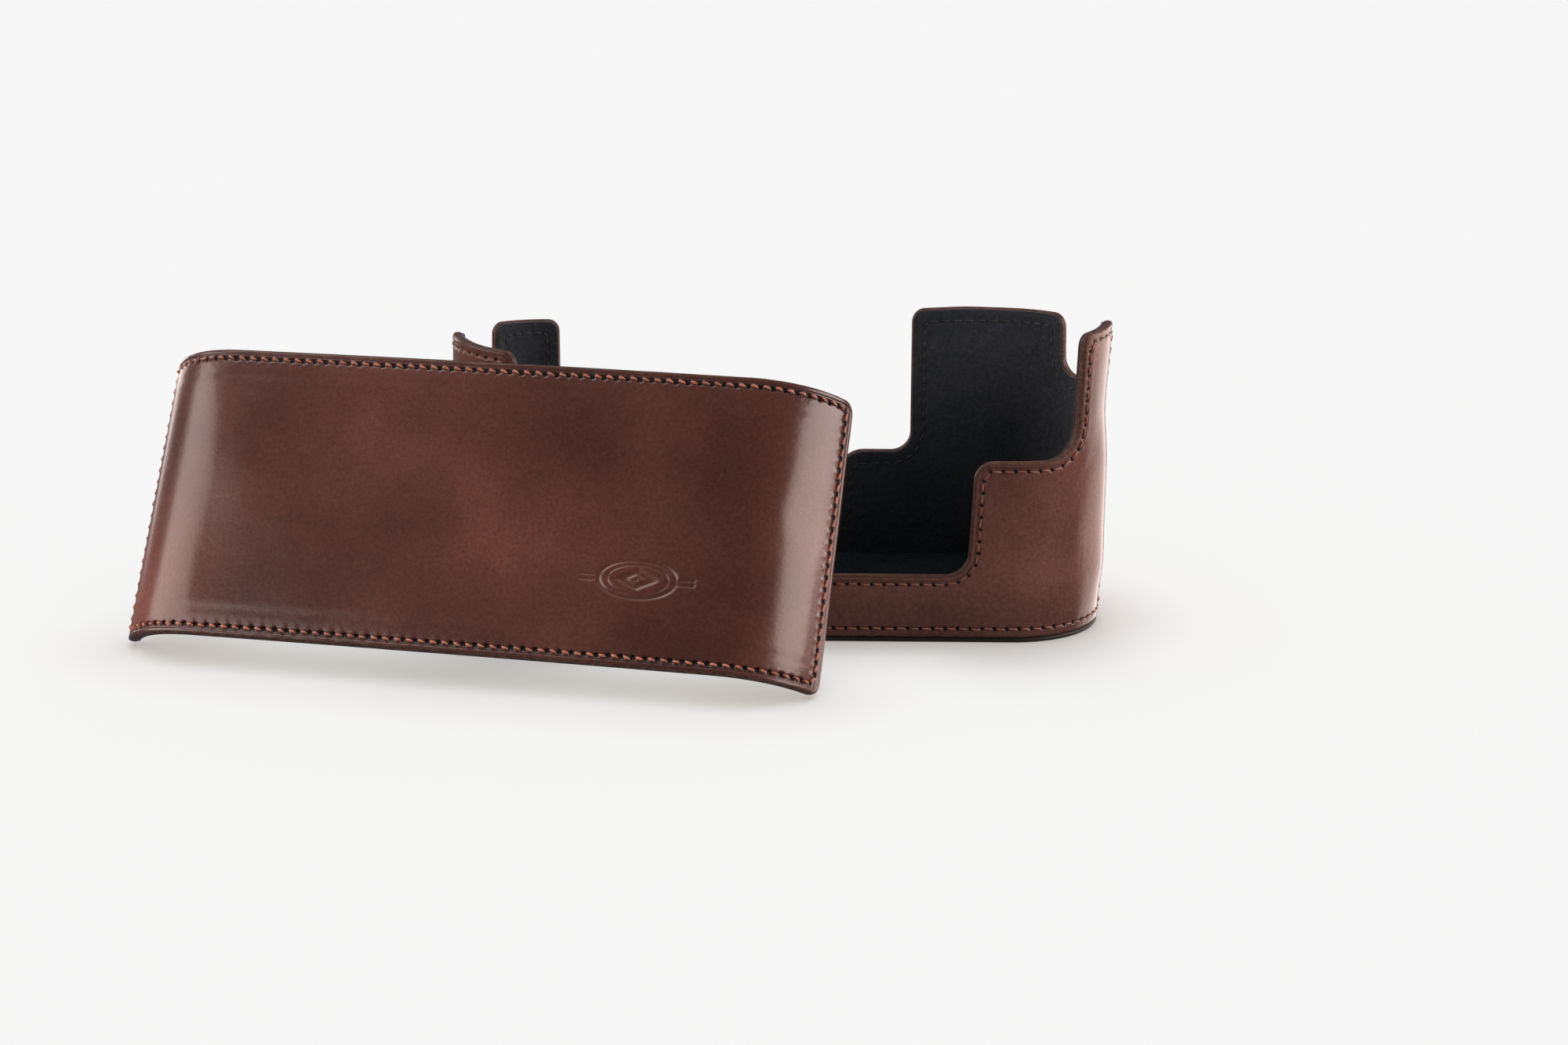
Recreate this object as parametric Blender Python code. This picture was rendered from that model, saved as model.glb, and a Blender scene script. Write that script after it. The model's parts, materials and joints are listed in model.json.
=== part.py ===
"""Two-piece leather ever-ready case for a rangefinder-size camera.

A lined half-case with a retaining screw in its base stands upright. The
detached wrap-round front cover leans back against the half-case's left side.
World frame: origin at the centre of the half-case's sole, +X to the right seen
from the front, +Y towards the back, +Z up. Dimensions are in millimetres and
become metres when a mesh is made.
"""

import math

import bmesh
import bpy
from mathutils import Matrix, Vector

MM = 0.001

# Half-case plan: a stadium, flat front and back with round ends.
CASE_WIDTH = 143.0
CASE_DEPTH = 40.69
END_R = CASE_DEPTH / 2
FLAT_HALF = CASE_WIDTH / 2 - END_R
END_ARC = math.pi * END_R
HALF_ROUND = 2 * FLAT_HALF + END_ARC
END_FACETS = 18

# Half-case wall, measured inwards from the outer face.
WALL_LEATHER_T = 1.55
LINING_FACE = 1.65
WALL_T = 2.4
RIM_CHAMFER = 0.35
LINING_SET_BACK = 0.5

# Half-case heights above the table.
SOLE_T = 1.0
WALL_FOOT_Z = 1.1
CORE_BOTTOM_Z = 1.15
CORE_TOP_Z = 8.5
FLOOR_BOTTOM_Z = 8.6
FLOOR_Z = 9.5
LINING_FOOT_Z = 8.65
NOTCH_Z = 15.2
SHELF_Z = 40.6
SIDE_NOTCH_Z = 52.5
RIGHT_TAB_Z = 67.6
LEFT_TAB_Z = 64.3
LEFT_TAB_FRONT_Z = 64.0
REAR_TAB_Z = 66.4
REAR_SMALL_TAB_Z = 63.0
REAR_SHELF_Z = 33.3
SCREEN_Z = 15.0

# Lengths along the wall, from the middle of the front: right is positive.
NOTCH_RIGHT_S = 41.6
NOTCH_LEFT_S = -38.0
SIDE_TAB_FRONT_S = 66.4
SIDE_TAB_REAR_S = 85.5
LEFT_TAB_FRONT_S = -56.0
REAR_TAB_END_S = 100.9
REAR_TAB_INNER_X = 29.6
SCREEN_RIGHT_X = 13.0
SCREEN_LEFT_X = -50.1
REAR_SMALL_TAB_END_S = -99.8

# Seams.
STITCH_PITCH = 2.7
RIM_SEAM_INSET = 2.0
SOLE_SEAM_Z = 3.2
THREAD_HALF_WIDTH = 0.3
THREAD_HEIGHT = 0.42
THREAD_CLEAR = 0.1
KNOT_SCALE = 0.45

# Retaining screw, on its own axis.
SCREW_X = -12.0
HEAD_R = 7.5
HEAD_BOTTOM_Z = 0.5
HEAD_TOP_Z = 3.6
SHANK_R = 3.175
SHANK_TOP_Z = 12.5
THREAD_PITCH = 1.27
THREAD_DEPTH = 0.45
GROOVE_R = 2.6
GROOVE_BOTTOM_Z = 6.85
GROOVE_TOP_Z = 7.7
SLOT_W = 1.7
SLOT_DEPTH = 1.4
HEAD_POCKET_R = 8.7
BUSH_R = 10.0
BUSH_POCKET_R = 10.3
BUSH_BOTTOM_Z = 5.8
BUSH_WEB_TOP_Z = 6.8
BUSH_TOP_Z = 8.45
BUSH_BORE_R = 3.5
BUSH_RECESS_R = 6.3
CLIP_OUTER_R = 5.4
CLIP_INNER_R = 2.75
CLIP_BOTTOM_Z = 6.95
CLIP_T = 0.6
CLIP_GAP_DEG = 50.0

# Magnets.
MAGNET_R = 2.5
MAGNET_POCKET_R = 2.8
CASE_MAGNET_T = 0.8
MAGNET_X = 48.3
MAGNET_Z = 28.0

# Front cover, seen in its own frame: X along it, Y towards its back, Z up it.
COVER_FLAT_HALF = 57.05
COVER_BOW_R = 2200.0
COVER_END_R = 21.6
COVER_WRAP_DEG = 69.2
COVER_H = 63.7
COVER_CORNER_R = 3.0
COVER_LEATHER_T = 1.9
COVER_FIELD_T = 1.1
COVER_BORDER = 5.4
COVER_BOARD_FACE = 1.2
COVER_BOARD_BACK = 1.8
COVER_BOARD_INSET = 5.8
COVER_LINING_FACE = 2.0
COVER_T = 2.6
COVER_SEAM_INSET = 2.0
COVER_END_SEAM_INSET = 2.7
COVER_END_FACETS = 7
COVER_FLAT_FACETS = 6

# Where the cover leans.
COVER_YAW_DEG = 12.05
COVER_LEAN_DEG = 31.8
COVER_FOOT_X = -68.4
COVER_FOOT_Y = -53.75
COVER_LIFT = 0.02

LEATHER_BROWN = (0.078, 0.03, 0.023)
LEATHER_WARM = (0.12, 0.05, 0.035)
SUEDE_BLACK = (0.008, 0.008, 0.01)
THREAD_RUST = (0.36, 0.085, 0.04)
SOLE_DARK = (0.035, 0.016, 0.012)
BOARD_GREY = (0.16, 0.13, 0.1)
STEEL = (0.55, 0.55, 0.56)
BRASS = (0.6, 0.43, 0.2)
NICKEL = (0.62, 0.6, 0.57)


def clear_scene():
    for obj in list(bpy.data.objects):
        bpy.data.objects.remove(obj, do_unlink=True)
    for mesh in list(bpy.data.meshes):
        bpy.data.meshes.remove(mesh)


def make_material(name, colour, roughness, metallic=0.0):
    material = bpy.data.materials.new(name)
    material.use_nodes = True
    shader = material.node_tree.nodes["Principled BSDF"]
    shader.inputs["Base Color"].default_value = (*colour, 1.0)
    shader.inputs["Roughness"].default_value = roughness
    shader.inputs["Metallic"].default_value = metallic
    material.diffuse_color = (*colour, 1.0)
    return material


def add_object(name, bm, material, parent=None, pivot=(0.0, 0.0, 0.0)):
    """Turns a bmesh in millimetres into a named object in metres."""
    bmesh.ops.recalc_face_normals(bm, faces=bm.faces)
    origin = Vector(pivot)
    for vert in bm.verts:
        vert.co = (vert.co - origin) * MM
    mesh = bpy.data.meshes.new(name)
    bm.to_mesh(mesh)
    bm.free()
    mesh.materials.append(material)
    obj = bpy.data.objects.new(name, mesh)
    obj.location = origin * MM
    bpy.context.scene.collection.objects.link(obj)
    obj.parent = parent
    return obj


def cut(obj, name, cutter_bm, parent=None, pivot=(0.0, 0.0, 0.0)):
    """Takes one closed solid away from an object with an exact Boolean."""
    material = obj.data.materials[0]
    cutter = add_object(name, cutter_bm, material, parent, pivot)
    cutter.hide_render = True
    cutter.display_type = "WIRE"
    modifier = obj.modifiers.new(name, "BOOLEAN")
    modifier.operation = "DIFFERENCE"
    modifier.solver = "EXACT"
    modifier.object = cutter


# Paths along a wall: stations with a position and an outward direction.


def case_stations():
    """Stations round the half-case from its back seam, s from -HALF to HALF."""
    stations = [(-HALF_ROUND, 0.0, END_R, 0.0, 1.0)]
    for side in (-1, 1):
        arc = []
        for step in range(END_FACETS + 1):
            angle = math.pi * step / END_FACETS
            s = side * (FLAT_HALF + END_R * angle)
            nx = side * math.sin(angle)
            ny = -math.cos(angle)
            x = side * FLAT_HALF + END_R * nx
            arc.append((s, x, END_R * ny, nx, ny))
        stations.extend(sorted(arc))
    stations.append((HALF_ROUND, 0.0, END_R, 0.0, 1.0))
    return stations


def cover_stations():
    """Stations along the cover, from its left end to its right end."""
    right = []
    for step in range(COVER_FLAT_FACETS // 2 + 1):
        u = COVER_FLAT_HALF * step / (COVER_FLAT_FACETS // 2)
        t = u / COVER_BOW_R
        x = COVER_BOW_R * math.sin(t)
        y = COVER_BOW_R * (1 - math.cos(t))
        right.append((u, x, y, math.sin(t), -math.cos(t)))
    t0 = COVER_FLAT_HALF / COVER_BOW_R
    x0 = COVER_BOW_R * math.sin(t0) - COVER_END_R * math.sin(t0)
    y0 = COVER_BOW_R * (1 - math.cos(t0)) + COVER_END_R * math.cos(t0)
    for step in range(1, COVER_END_FACETS + 1):
        turn = math.radians(COVER_WRAP_DEG) * step / COVER_END_FACETS
        t = t0 + turn
        u = COVER_FLAT_HALF + COVER_END_R * turn
        x = x0 + COVER_END_R * math.sin(t)
        y = y0 - COVER_END_R * math.cos(t)
        right.append((u, x, y, math.sin(t), -math.cos(t)))
    left = [(-u, -x, y, -nx, ny) for u, x, y, nx, ny in reversed(right[1:])]
    return left + right


def wall_point(stations, s, z, inwards):
    """The point at length s, height z and depth inwards from the outer face."""
    low = 0
    while low < len(stations) - 2 and s > stations[low + 1][0]:
        low += 1
    a = stations[low]
    b = stations[low + 1]
    share = (s - a[0]) / (b[0] - a[0])
    ax = a[1] - a[3] * inwards
    ay = a[2] - a[4] * inwards
    bx = b[1] - b[3] * inwards
    by = b[2] - b[4] * inwards
    return Vector((ax + (bx - ax) * share, ay + (by - ay) * share, z))


# Flat patterns: corners with fillets, and offsets of them.


def fillet(corners, closed=False, step_deg=18.0):
    """Rounds each (s, z, radius) corner into short straight steps."""
    line = []
    count = len(corners)
    for index, (s, z, radius) in enumerate(corners):
        at_end = not closed and index in (0, count - 1)
        if at_end or radius <= 0:
            line.append(Vector((s, z)))
            continue
        here = Vector((s, z))
        before = Vector(corners[index - 1][:2])
        after = Vector(corners[(index + 1) % count][:2])
        into = (before - here).normalized()
        out = (after - here).normalized()
        half = into.angle(out) / 2
        reach = radius / math.tan(half)
        reach = min(reach, (before - here).length * 0.49, (after - here).length * 0.49)
        radius = reach * math.tan(half)
        middle = here + (into + out).normalized() * (radius / math.sin(half))
        start = here + into * reach - middle
        turn = math.pi - 2 * half
        steps = max(2, math.ceil(math.degrees(turn) / step_deg))
        sign = 1.0 if into.x * out.y - into.y * out.x < 0 else -1.0
        for step in range(steps + 1):
            angle = sign * turn * step / steps
            c = math.cos(angle)
            d = math.sin(angle)
            line.append(middle + Vector((start.x * c - start.y * d, start.x * d + start.y * c)))
    return line


def offset_line(line, distance, closed=False):
    """Moves a pattern line to its right-hand side by the distance."""
    moved = []
    count = len(line)
    for index, point in enumerate(line):
        before = line[index - 1] if index or closed else None
        after = line[(index + 1) % count] if index < count - 1 or closed else None
        normals = []
        if before is not None:
            run = (point - before).normalized()
            normals.append(Vector((run.y, -run.x)))
        if after is not None:
            run = (after - point).normalized()
            normals.append(Vector((run.y, -run.x)))
        mean = sum(normals, Vector((0.0, 0.0))).normalized()
        scale = 1.0 / max(0.5, mean.dot(normals[0]))
        moved.append(point + mean * distance * scale)
    return moved


def case_rim_line():
    """The half-case's top edge, from the back seam round by the left."""
    rear_s = FLAT_HALF + END_ARC + FLAT_HALF
    tab_inner_s = rear_s - REAR_TAB_INNER_X
    screen_right_s = rear_s - SCREEN_RIGHT_X
    screen_left_s = -(rear_s + SCREEN_LEFT_X)
    corners = [
        (-HALF_ROUND, SCREEN_Z, 0),
        (screen_left_s, SCREEN_Z, 4.0),
        (screen_left_s, REAR_SMALL_TAB_Z, 2.6),
        (REAR_SMALL_TAB_END_S, REAR_SMALL_TAB_Z + 0.2, 2.6),
        (REAR_SMALL_TAB_END_S + 0.4, SIDE_NOTCH_Z, 4.0),
        (-SIDE_TAB_REAR_S, SIDE_NOTCH_Z, 4.0),
        (-SIDE_TAB_REAR_S, LEFT_TAB_Z - 0.3, 3.0),
        (-74.0, LEFT_TAB_Z + 0.2, 40.0),
        (LEFT_TAB_FRONT_S, LEFT_TAB_FRONT_Z - 0.2, 3.4),
        (LEFT_TAB_FRONT_S + 0.6, SHELF_Z, 4.5),
        (NOTCH_LEFT_S - 0.5, SHELF_Z, 4.0),
        (NOTCH_LEFT_S, NOTCH_Z, 5.2),
        (NOTCH_RIGHT_S - 0.4, NOTCH_Z, 5.2),
        (NOTCH_RIGHT_S + 0.9, SHELF_Z, 4.2),
        (SIDE_TAB_FRONT_S - 0.3, SHELF_Z, 8.0),
        (SIDE_TAB_FRONT_S + 0.9, RIGHT_TAB_Z - 0.3, 3.0),
        (SIDE_TAB_REAR_S, RIGHT_TAB_Z + 0.1, 3.0),
        (SIDE_TAB_REAR_S, SIDE_NOTCH_Z, 4.0),
        (REAR_TAB_END_S - 0.4, SIDE_NOTCH_Z, 4.0),
        (REAR_TAB_END_S, REAR_TAB_Z - 0.5, 3.2),
        (tab_inner_s - 12.0, REAR_TAB_Z + 0.2, 60.0),
        (tab_inner_s, REAR_TAB_Z - 0.4, 3.0),
        (tab_inner_s, REAR_SHELF_Z, 4.5),
        (screen_right_s, REAR_SHELF_Z, 6.0),
        (screen_right_s, SCREEN_Z, 4.0),
        (HALF_ROUND, SCREEN_Z, 0),
    ]
    return fillet(corners)


def cover_outline(inset_ends, inset, corner_r):
    """The cover's rectangle, clockwise, pulled in from each edge."""
    half = COVER_FLAT_HALF + COVER_END_R * math.radians(COVER_WRAP_DEG) - inset_ends
    low = inset
    high = COVER_H - inset
    corners = [
        (-half, low, corner_r),
        (-half, high, corner_r),
        (half, high, corner_r),
        (half, low, corner_r),
    ]
    return fillet(corners, closed=True, step_deg=22.5)


def pattern_solid(stations, outline, near, far, wrap, chamfer=0.0):
    """A flat leather pattern given its thickness, then wrapped on a path.

    The pattern is sliced at every station, so each slice stays flat when the
    wall is bent. With wrap, its two ends meet and are welded.
    """
    bm = bmesh.new()
    bm.faces.new([bm.verts.new((p.x, p.y, 0.0)) for p in outline])
    low = min(p.x for p in outline)
    high = max(p.x for p in outline)
    for station in stations:
        s = station[0]
        if low + 0.01 < s < high - 0.01:
            geometry = bm.verts[:] + bm.edges[:] + bm.faces[:]
            at = Vector((s, 0.0, 0.0))
            bmesh.ops.bisect_plane(
                bm, geom=geometry, dist=1e-4, plane_co=at, plane_no=(1.0, 0.0, 0.0)
            )
    front = bm.faces[:]
    rim = [edge for edge in bm.edges if edge.is_boundary]
    if wrap:
        ends = (low, high)
        rim = [
            edge
            for edge in rim
            if not any(all(abs(v.co.x - end) < 1e-4 for v in edge.verts) for end in ends)
        ]
    copy = bmesh.ops.duplicate(bm, geom=bm.verts[:] + bm.edges[:] + front)
    twin = copy["vert_map"]
    for element in copy["geom"]:
        if isinstance(element, bmesh.types.BMVert):
            element.co.z = far - near
    for edge in rim:
        a, b = edge.verts
        bm.faces.new((a, b, twin[b], twin[a]))
    bmesh.ops.recalc_face_normals(bm, faces=bm.faces)
    if chamfer:
        top = [edge for edge in rim if min(v.co.y for v in edge.verts) > WALL_FOOT_Z + 1.0]
        bmesh.ops.bevel(bm, geom=top, offset=chamfer, segments=1, affect="EDGES")
    for vert in bm.verts:
        vert.co = wall_point(stations, vert.co.x, vert.co.y, near + vert.co.z)
    if wrap:
        bmesh.ops.remove_doubles(bm, verts=bm.verts[:], dist=1e-3)
    bmesh.ops.recalc_face_normals(bm, faces=bm.faces)
    return bm


def resample(line, pitch, closed):
    """Even steps along a pattern line: needle holes and the crests between."""
    points = line + [line[0]] if closed else line
    lengths = [0.0]
    for a, b in zip(points, points[1:]):
        lengths.append(lengths[-1] + (b - a).length)
    stitches = round(lengths[-1] / pitch)
    steps = stitches * 2
    found = []
    at = 0
    for step in range(steps if closed else steps + 1):
        target = lengths[-1] * step / steps
        while at < len(lengths) - 2 and lengths[at + 1] < target:
            at += 1
        share = (target - lengths[at]) / (lengths[at + 1] - lengths[at])
        found.append((points[at].lerp(points[at + 1], share), step % 2 == 0))
    return found


def plate_solid(inset, bottom, top):
    """A stadium-shaped sheet inside the half-case's outline."""
    bm = bmesh.new()
    ring = []
    for s, x, y, nx, ny in case_stations()[1:-1]:
        ring.append(bm.verts.new((x - nx * inset, y - ny * inset, bottom)))
    face = bm.faces.new(ring)
    raised = bmesh.ops.extrude_face_region(bm, geom=[face])
    moved = [item for item in raised["geom"] if isinstance(item, bmesh.types.BMVert)]
    bmesh.ops.translate(bm, verts=moved, vec=(0.0, 0.0, top - bottom))
    bmesh.ops.recalc_face_normals(bm, faces=bm.faces)
    return bm


def disc_solid(radius, length, sides, matrix):
    bm = bmesh.new()
    bmesh.ops.create_cone(
        bm,
        cap_ends=True,
        segments=sides,
        radius1=radius,
        radius2=radius,
        depth=length,
        matrix=matrix,
    )
    bmesh.ops.recalc_face_normals(bm, faces=bm.faces)
    return bm


def upright_disc(x, y, bottom, top, radius, sides):
    matrix = Matrix.Translation((x, y, (bottom + top) / 2))
    return disc_solid(radius, top - bottom, sides, matrix)


def facing_disc(x, front, back, z, radius, sides):
    """A disc with its axis along Y, between two depths."""
    turn = Matrix.Rotation(math.pi / 2, 4, "X")
    matrix = Matrix.Translation((x, (front + back) / 2, z)) @ turn
    return disc_solid(radius, back - front, sides, matrix)


def box_solid(x0, x1, y0, y1, z0, z1):
    bm = bmesh.new()
    bmesh.ops.create_cube(bm, size=1.0)
    for vert in bm.verts:
        vert.co.x = x0 if vert.co.x < 0 else x1
        vert.co.y = y0 if vert.co.y < 0 else y1
        vert.co.z = z0 if vert.co.z < 0 else z1
    return bm


def turned_solid(profile, sides, x):
    """Spins a closed (radius, z) profile about an upright axis at x."""
    bm = bmesh.new()
    verts = [bm.verts.new((x + radius, 0.0, z)) for radius, z in profile]
    edges = [bm.edges.new((a, b)) for a, b in zip(verts, verts[1:])]
    on_axis = profile[0][0] == 0 and profile[-1][0] == 0
    if not on_axis:
        edges.append(bm.edges.new((verts[-1], verts[0])))
    bmesh.ops.spin(
        bm,
        geom=verts + edges,
        cent=(x, 0.0, 0.0),
        axis=(0.0, 0.0, 1.0),
        angle=2 * math.pi,
        steps=sides,
        use_merge=True,
    )
    bmesh.ops.remove_doubles(bm, verts=bm.verts[:], dist=1e-4)
    bmesh.ops.recalc_face_normals(bm, faces=bm.faces)
    return bm


def screw_profile():
    """Head, plain shank, clip groove and threaded tip, from the axis out."""
    profile = [
        (0.0, HEAD_BOTTOM_Z),
        (HEAD_R - 0.5, HEAD_BOTTOM_Z),
        (HEAD_R, HEAD_BOTTOM_Z + 0.5),
        (HEAD_R, HEAD_TOP_Z - 0.3),
        (HEAD_R - 0.3, HEAD_TOP_Z),
        (SHANK_R, HEAD_TOP_Z),
        (SHANK_R, GROOVE_BOTTOM_Z),
        (GROOVE_R, GROOVE_BOTTOM_Z),
        (GROOVE_R, GROOVE_TOP_Z),
        (SHANK_R, GROOVE_TOP_Z),
    ]
    z = GROOVE_TOP_Z + 0.35
    while z + THREAD_PITCH < SHANK_TOP_Z:
        profile.append((SHANK_R, z))
        profile.append((SHANK_R - THREAD_DEPTH, z + THREAD_PITCH / 2))
        z += THREAD_PITCH
    profile.append((SHANK_R, z))
    profile.append((SHANK_R - 0.7, SHANK_TOP_Z))
    profile.append((0.0, SHANK_TOP_Z))
    return profile


def clip_solid():
    """An open retaining ring: one flat C cut from a washer."""
    bm = bmesh.new()
    gap = math.radians(CLIP_GAP_DEG) / 2
    steps = 20
    outer = []
    inner = []
    for step in range(steps + 1):
        angle = gap + (2 * math.pi - 2 * gap) * step / steps
        c = math.cos(angle)
        d = math.sin(angle)
        outer.append((SCREW_X + CLIP_OUTER_R * c, CLIP_OUTER_R * d))
        inner.append((SCREW_X + CLIP_INNER_R * c, CLIP_INNER_R * d))
    ring = [bm.verts.new((x, y, CLIP_BOTTOM_Z)) for x, y in outer + inner[::-1]]
    face = bm.faces.new(ring)
    raised = bmesh.ops.extrude_face_region(bm, geom=[face])
    moved = [item for item in raised["geom"] if isinstance(item, bmesh.types.BMVert)]
    bmesh.ops.translate(bm, verts=moved, vec=(0.0, 0.0, CLIP_T))
    bmesh.ops.recalc_face_normals(bm, faces=bm.faces)
    return bm


def build_half_case(mats):
    stations = case_stations()
    rim = case_rim_line()
    foot = [Vector((HALF_ROUND, WALL_FOOT_Z)), Vector((-HALF_ROUND, WALL_FOOT_Z))]

    wall_bm = pattern_solid(stations, rim + foot, 0.0, WALL_LEATHER_T, True, RIM_CHAMFER)
    wall = add_object("case_wall_leather", wall_bm, mats["case_leather"])

    lining_rim = offset_line(rim, LINING_SET_BACK)
    lining_rim[0].x = -HALF_ROUND
    lining_rim[-1].x = HALF_ROUND
    lining_foot = [Vector((HALF_ROUND, LINING_FOOT_Z)), Vector((-HALF_ROUND, LINING_FOOT_Z))]
    lining_bm = pattern_solid(stations, lining_rim + lining_foot, LINING_FACE, WALL_T, True)
    add_object("case_wall_lining", lining_bm, mats["suede"])

    sole = add_object("case_sole", plate_solid(0.15, 0.0, SOLE_T), mats["sole"])
    core_bm = plate_solid(LINING_FACE + 0.1, CORE_BOTTOM_Z, CORE_TOP_Z)
    core = add_object("case_base_core", core_bm, mats["board"])
    floor_bm = plate_solid(WALL_T + 0.15, FLOOR_BOTTOM_Z, FLOOR_Z)
    floor = add_object("case_floor_lining", floor_bm, mats["floor_suede"])

    hole = upright_disc(SCREW_X, 0.0, -1.0, SOLE_T + 1.0, HEAD_POCKET_R, 32)
    cut(sole, "cut_sole_hole", hole)
    hole = upright_disc(SCREW_X, 0.0, 0.0, CORE_TOP_Z + 1.0, HEAD_POCKET_R, 32)
    cut(core, "cut_core_bore", hole)
    hole = upright_disc(SCREW_X, 0.0, BUSH_BOTTOM_Z - 0.1, CORE_TOP_Z + 1.5, BUSH_POCKET_R, 32)
    cut(core, "cut_core_bush_seat", hole)
    hole = upright_disc(SCREW_X, 0.0, FLOOR_BOTTOM_Z - 1.0, FLOOR_Z + 1.0, BUSH_RECESS_R, 28)
    cut(floor, "cut_floor_hole", hole)

    front = -END_R
    for name, x in (("left", -MAGNET_X), ("right", MAGNET_X)):
        deep = front + WALL_LEATHER_T
        pocket = facing_disc(x, deep - 0.95, deep + 0.6, MAGNET_Z, MAGNET_POCKET_R, 20)
        cut(wall, "cut_case_magnet_" + name, pocket)
        back = deep - 0.05
        disc = facing_disc(x, back - CASE_MAGNET_T, back, MAGNET_Z, MAGNET_R, 20)
        add_object("case_magnet_" + name, disc, mats["nickel"])

    seam = offset_line(rim, RIM_SEAM_INSET)
    seam[0].x = -HALF_ROUND
    seam[-1].x = HALF_ROUND
    loop = seam[:-1]
    outer_bm = seam_loop(stations, loop, seam[-1], 0.0, 1)
    add_object("case_rim_thread", outer_bm, mats["thread"])
    inner_bm = seam_loop(stations, loop, seam[-1], WALL_T, -1)
    add_object("case_rim_thread_inner", inner_bm, mats["thread"])
    base_line = [Vector((-HALF_ROUND, SOLE_SEAM_Z)), Vector((0.0, SOLE_SEAM_Z))]
    end = Vector((HALF_ROUND, SOLE_SEAM_Z))
    base_bm = seam_loop(stations, base_line, end, 0.0, 1)
    add_object("case_sole_thread", base_bm, mats["thread"])

    bush_profile = [
        (BUSH_BORE_R, BUSH_BOTTOM_Z),
        (BUSH_R, BUSH_BOTTOM_Z),
        (BUSH_R, BUSH_TOP_Z),
        (BUSH_RECESS_R, BUSH_TOP_Z),
        (BUSH_RECESS_R, BUSH_WEB_TOP_Z),
        (BUSH_BORE_R, BUSH_WEB_TOP_Z),
    ]
    bush_bm = turned_solid(bush_profile, 28, SCREW_X)
    add_object("screw_bush", bush_bm, mats["brass"])
    axis_foot = (SCREW_X, 0.0, 0.0)
    add_object("screw_clip", clip_solid(), mats["steel"], pivot=axis_foot)
    screw_bm = turned_solid(screw_profile(), 28, SCREW_X)
    screw = add_object("retaining_screw", screw_bm, mats["nickel"], pivot=axis_foot)
    half_slot = SLOT_W / 2
    top = HEAD_BOTTOM_Z + SLOT_DEPTH
    slot = box_solid(SCREW_X - 9.0, SCREW_X + 9.0, -half_slot, half_slot, -1.0, top)
    cut(screw, "cut_coin_slot", slot)


def seam_loop(stations, line, end, face, side):
    """A seam that runs right round the half-case and joins itself."""
    whole = line + [end]
    lengths = [0.0]
    for a, b in zip(whole, whole[1:]):
        lengths.append(lengths[-1] + (b - a).length)
    stitches = round(lengths[-1] / STITCH_PITCH)
    pitch = lengths[-1] / stitches
    samples = resample(whole, pitch, False)[:-1]
    bm = bmesh.new()
    rings = []
    count = len(samples)
    for index, (point, at_hole) in enumerate(samples):
        run = samples[(index + 1) % count][0] - samples[index - 1][0]
        if abs(run.x) > HALF_ROUND:
            run.x -= math.copysign(2 * HALF_ROUND, run.x)
        rings.append(thread_ring(bm, stations, point, run, at_hole, face, side))
    join_rings(bm, rings)
    return bm


def thread_ring(bm, stations, point, run, at_hole, face, side):
    """Three corners of the thread's section at one point of a seam."""
    run = run.normalized()
    across = Vector((run.y, -run.x))
    scale = KNOT_SCALE if at_hole else 1.0
    half_width = THREAD_HALF_WIDTH * scale
    foot = face - side * THREAD_CLEAR
    crest = foot - side * THREAD_HEIGHT * scale
    ring = []
    for sideways, depth in ((-half_width, foot), (0.0, crest), (half_width, foot)):
        s = point.x + across.x * sideways
        z = point.y + across.y * sideways
        ring.append(bm.verts.new(wall_point(stations, s, z, depth)))
    return ring


def join_rings(bm, rings):
    for first, second in zip(rings, rings[1:] + rings[:1]):
        for corner in range(3):
            after = (corner + 1) % 3
            bm.faces.new((first[corner], first[after], second[after], second[corner]))


def closed_seam(stations, line, face, side):
    """A seam whose pattern line is already a closed loop."""
    samples = resample(line, STITCH_PITCH, True)
    bm = bmesh.new()
    rings = []
    count = len(samples)
    for index, (point, at_hole) in enumerate(samples):
        run = samples[(index + 1) % count][0] - samples[index - 1][0]
        rings.append(thread_ring(bm, stations, point, run, at_hole, face, side))
    join_rings(bm, rings)
    return bm


def cover_pose():
    """The leaning cover's frame as an empty at the middle of its foot."""
    yaw = math.radians(COVER_YAW_DEG)
    lean = math.radians(COVER_LEAN_DEG)
    along = Vector((math.cos(yaw), -math.sin(yaw), 0.0))
    back = Vector((math.sin(yaw), math.cos(yaw), 0.0))
    up = Vector((0.0, 0.0, 1.0))
    inwards = back * math.cos(lean) - up * math.sin(lean)
    upwards = back * math.sin(lean) + up * math.cos(lean)
    wrap_depth = max(station[2] for station in cover_stations())
    height = wrap_depth * math.sin(lean) + COVER_LIFT
    frame = Matrix((along, inwards, upwards)).transposed().to_4x4()
    frame.translation = Vector((COVER_FOOT_X, COVER_FOOT_Y, height)) * MM
    empty = bpy.data.objects.new("front_cover_pose", None)
    bpy.context.scene.collection.objects.link(empty)
    empty.matrix_world = frame
    return empty


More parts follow.
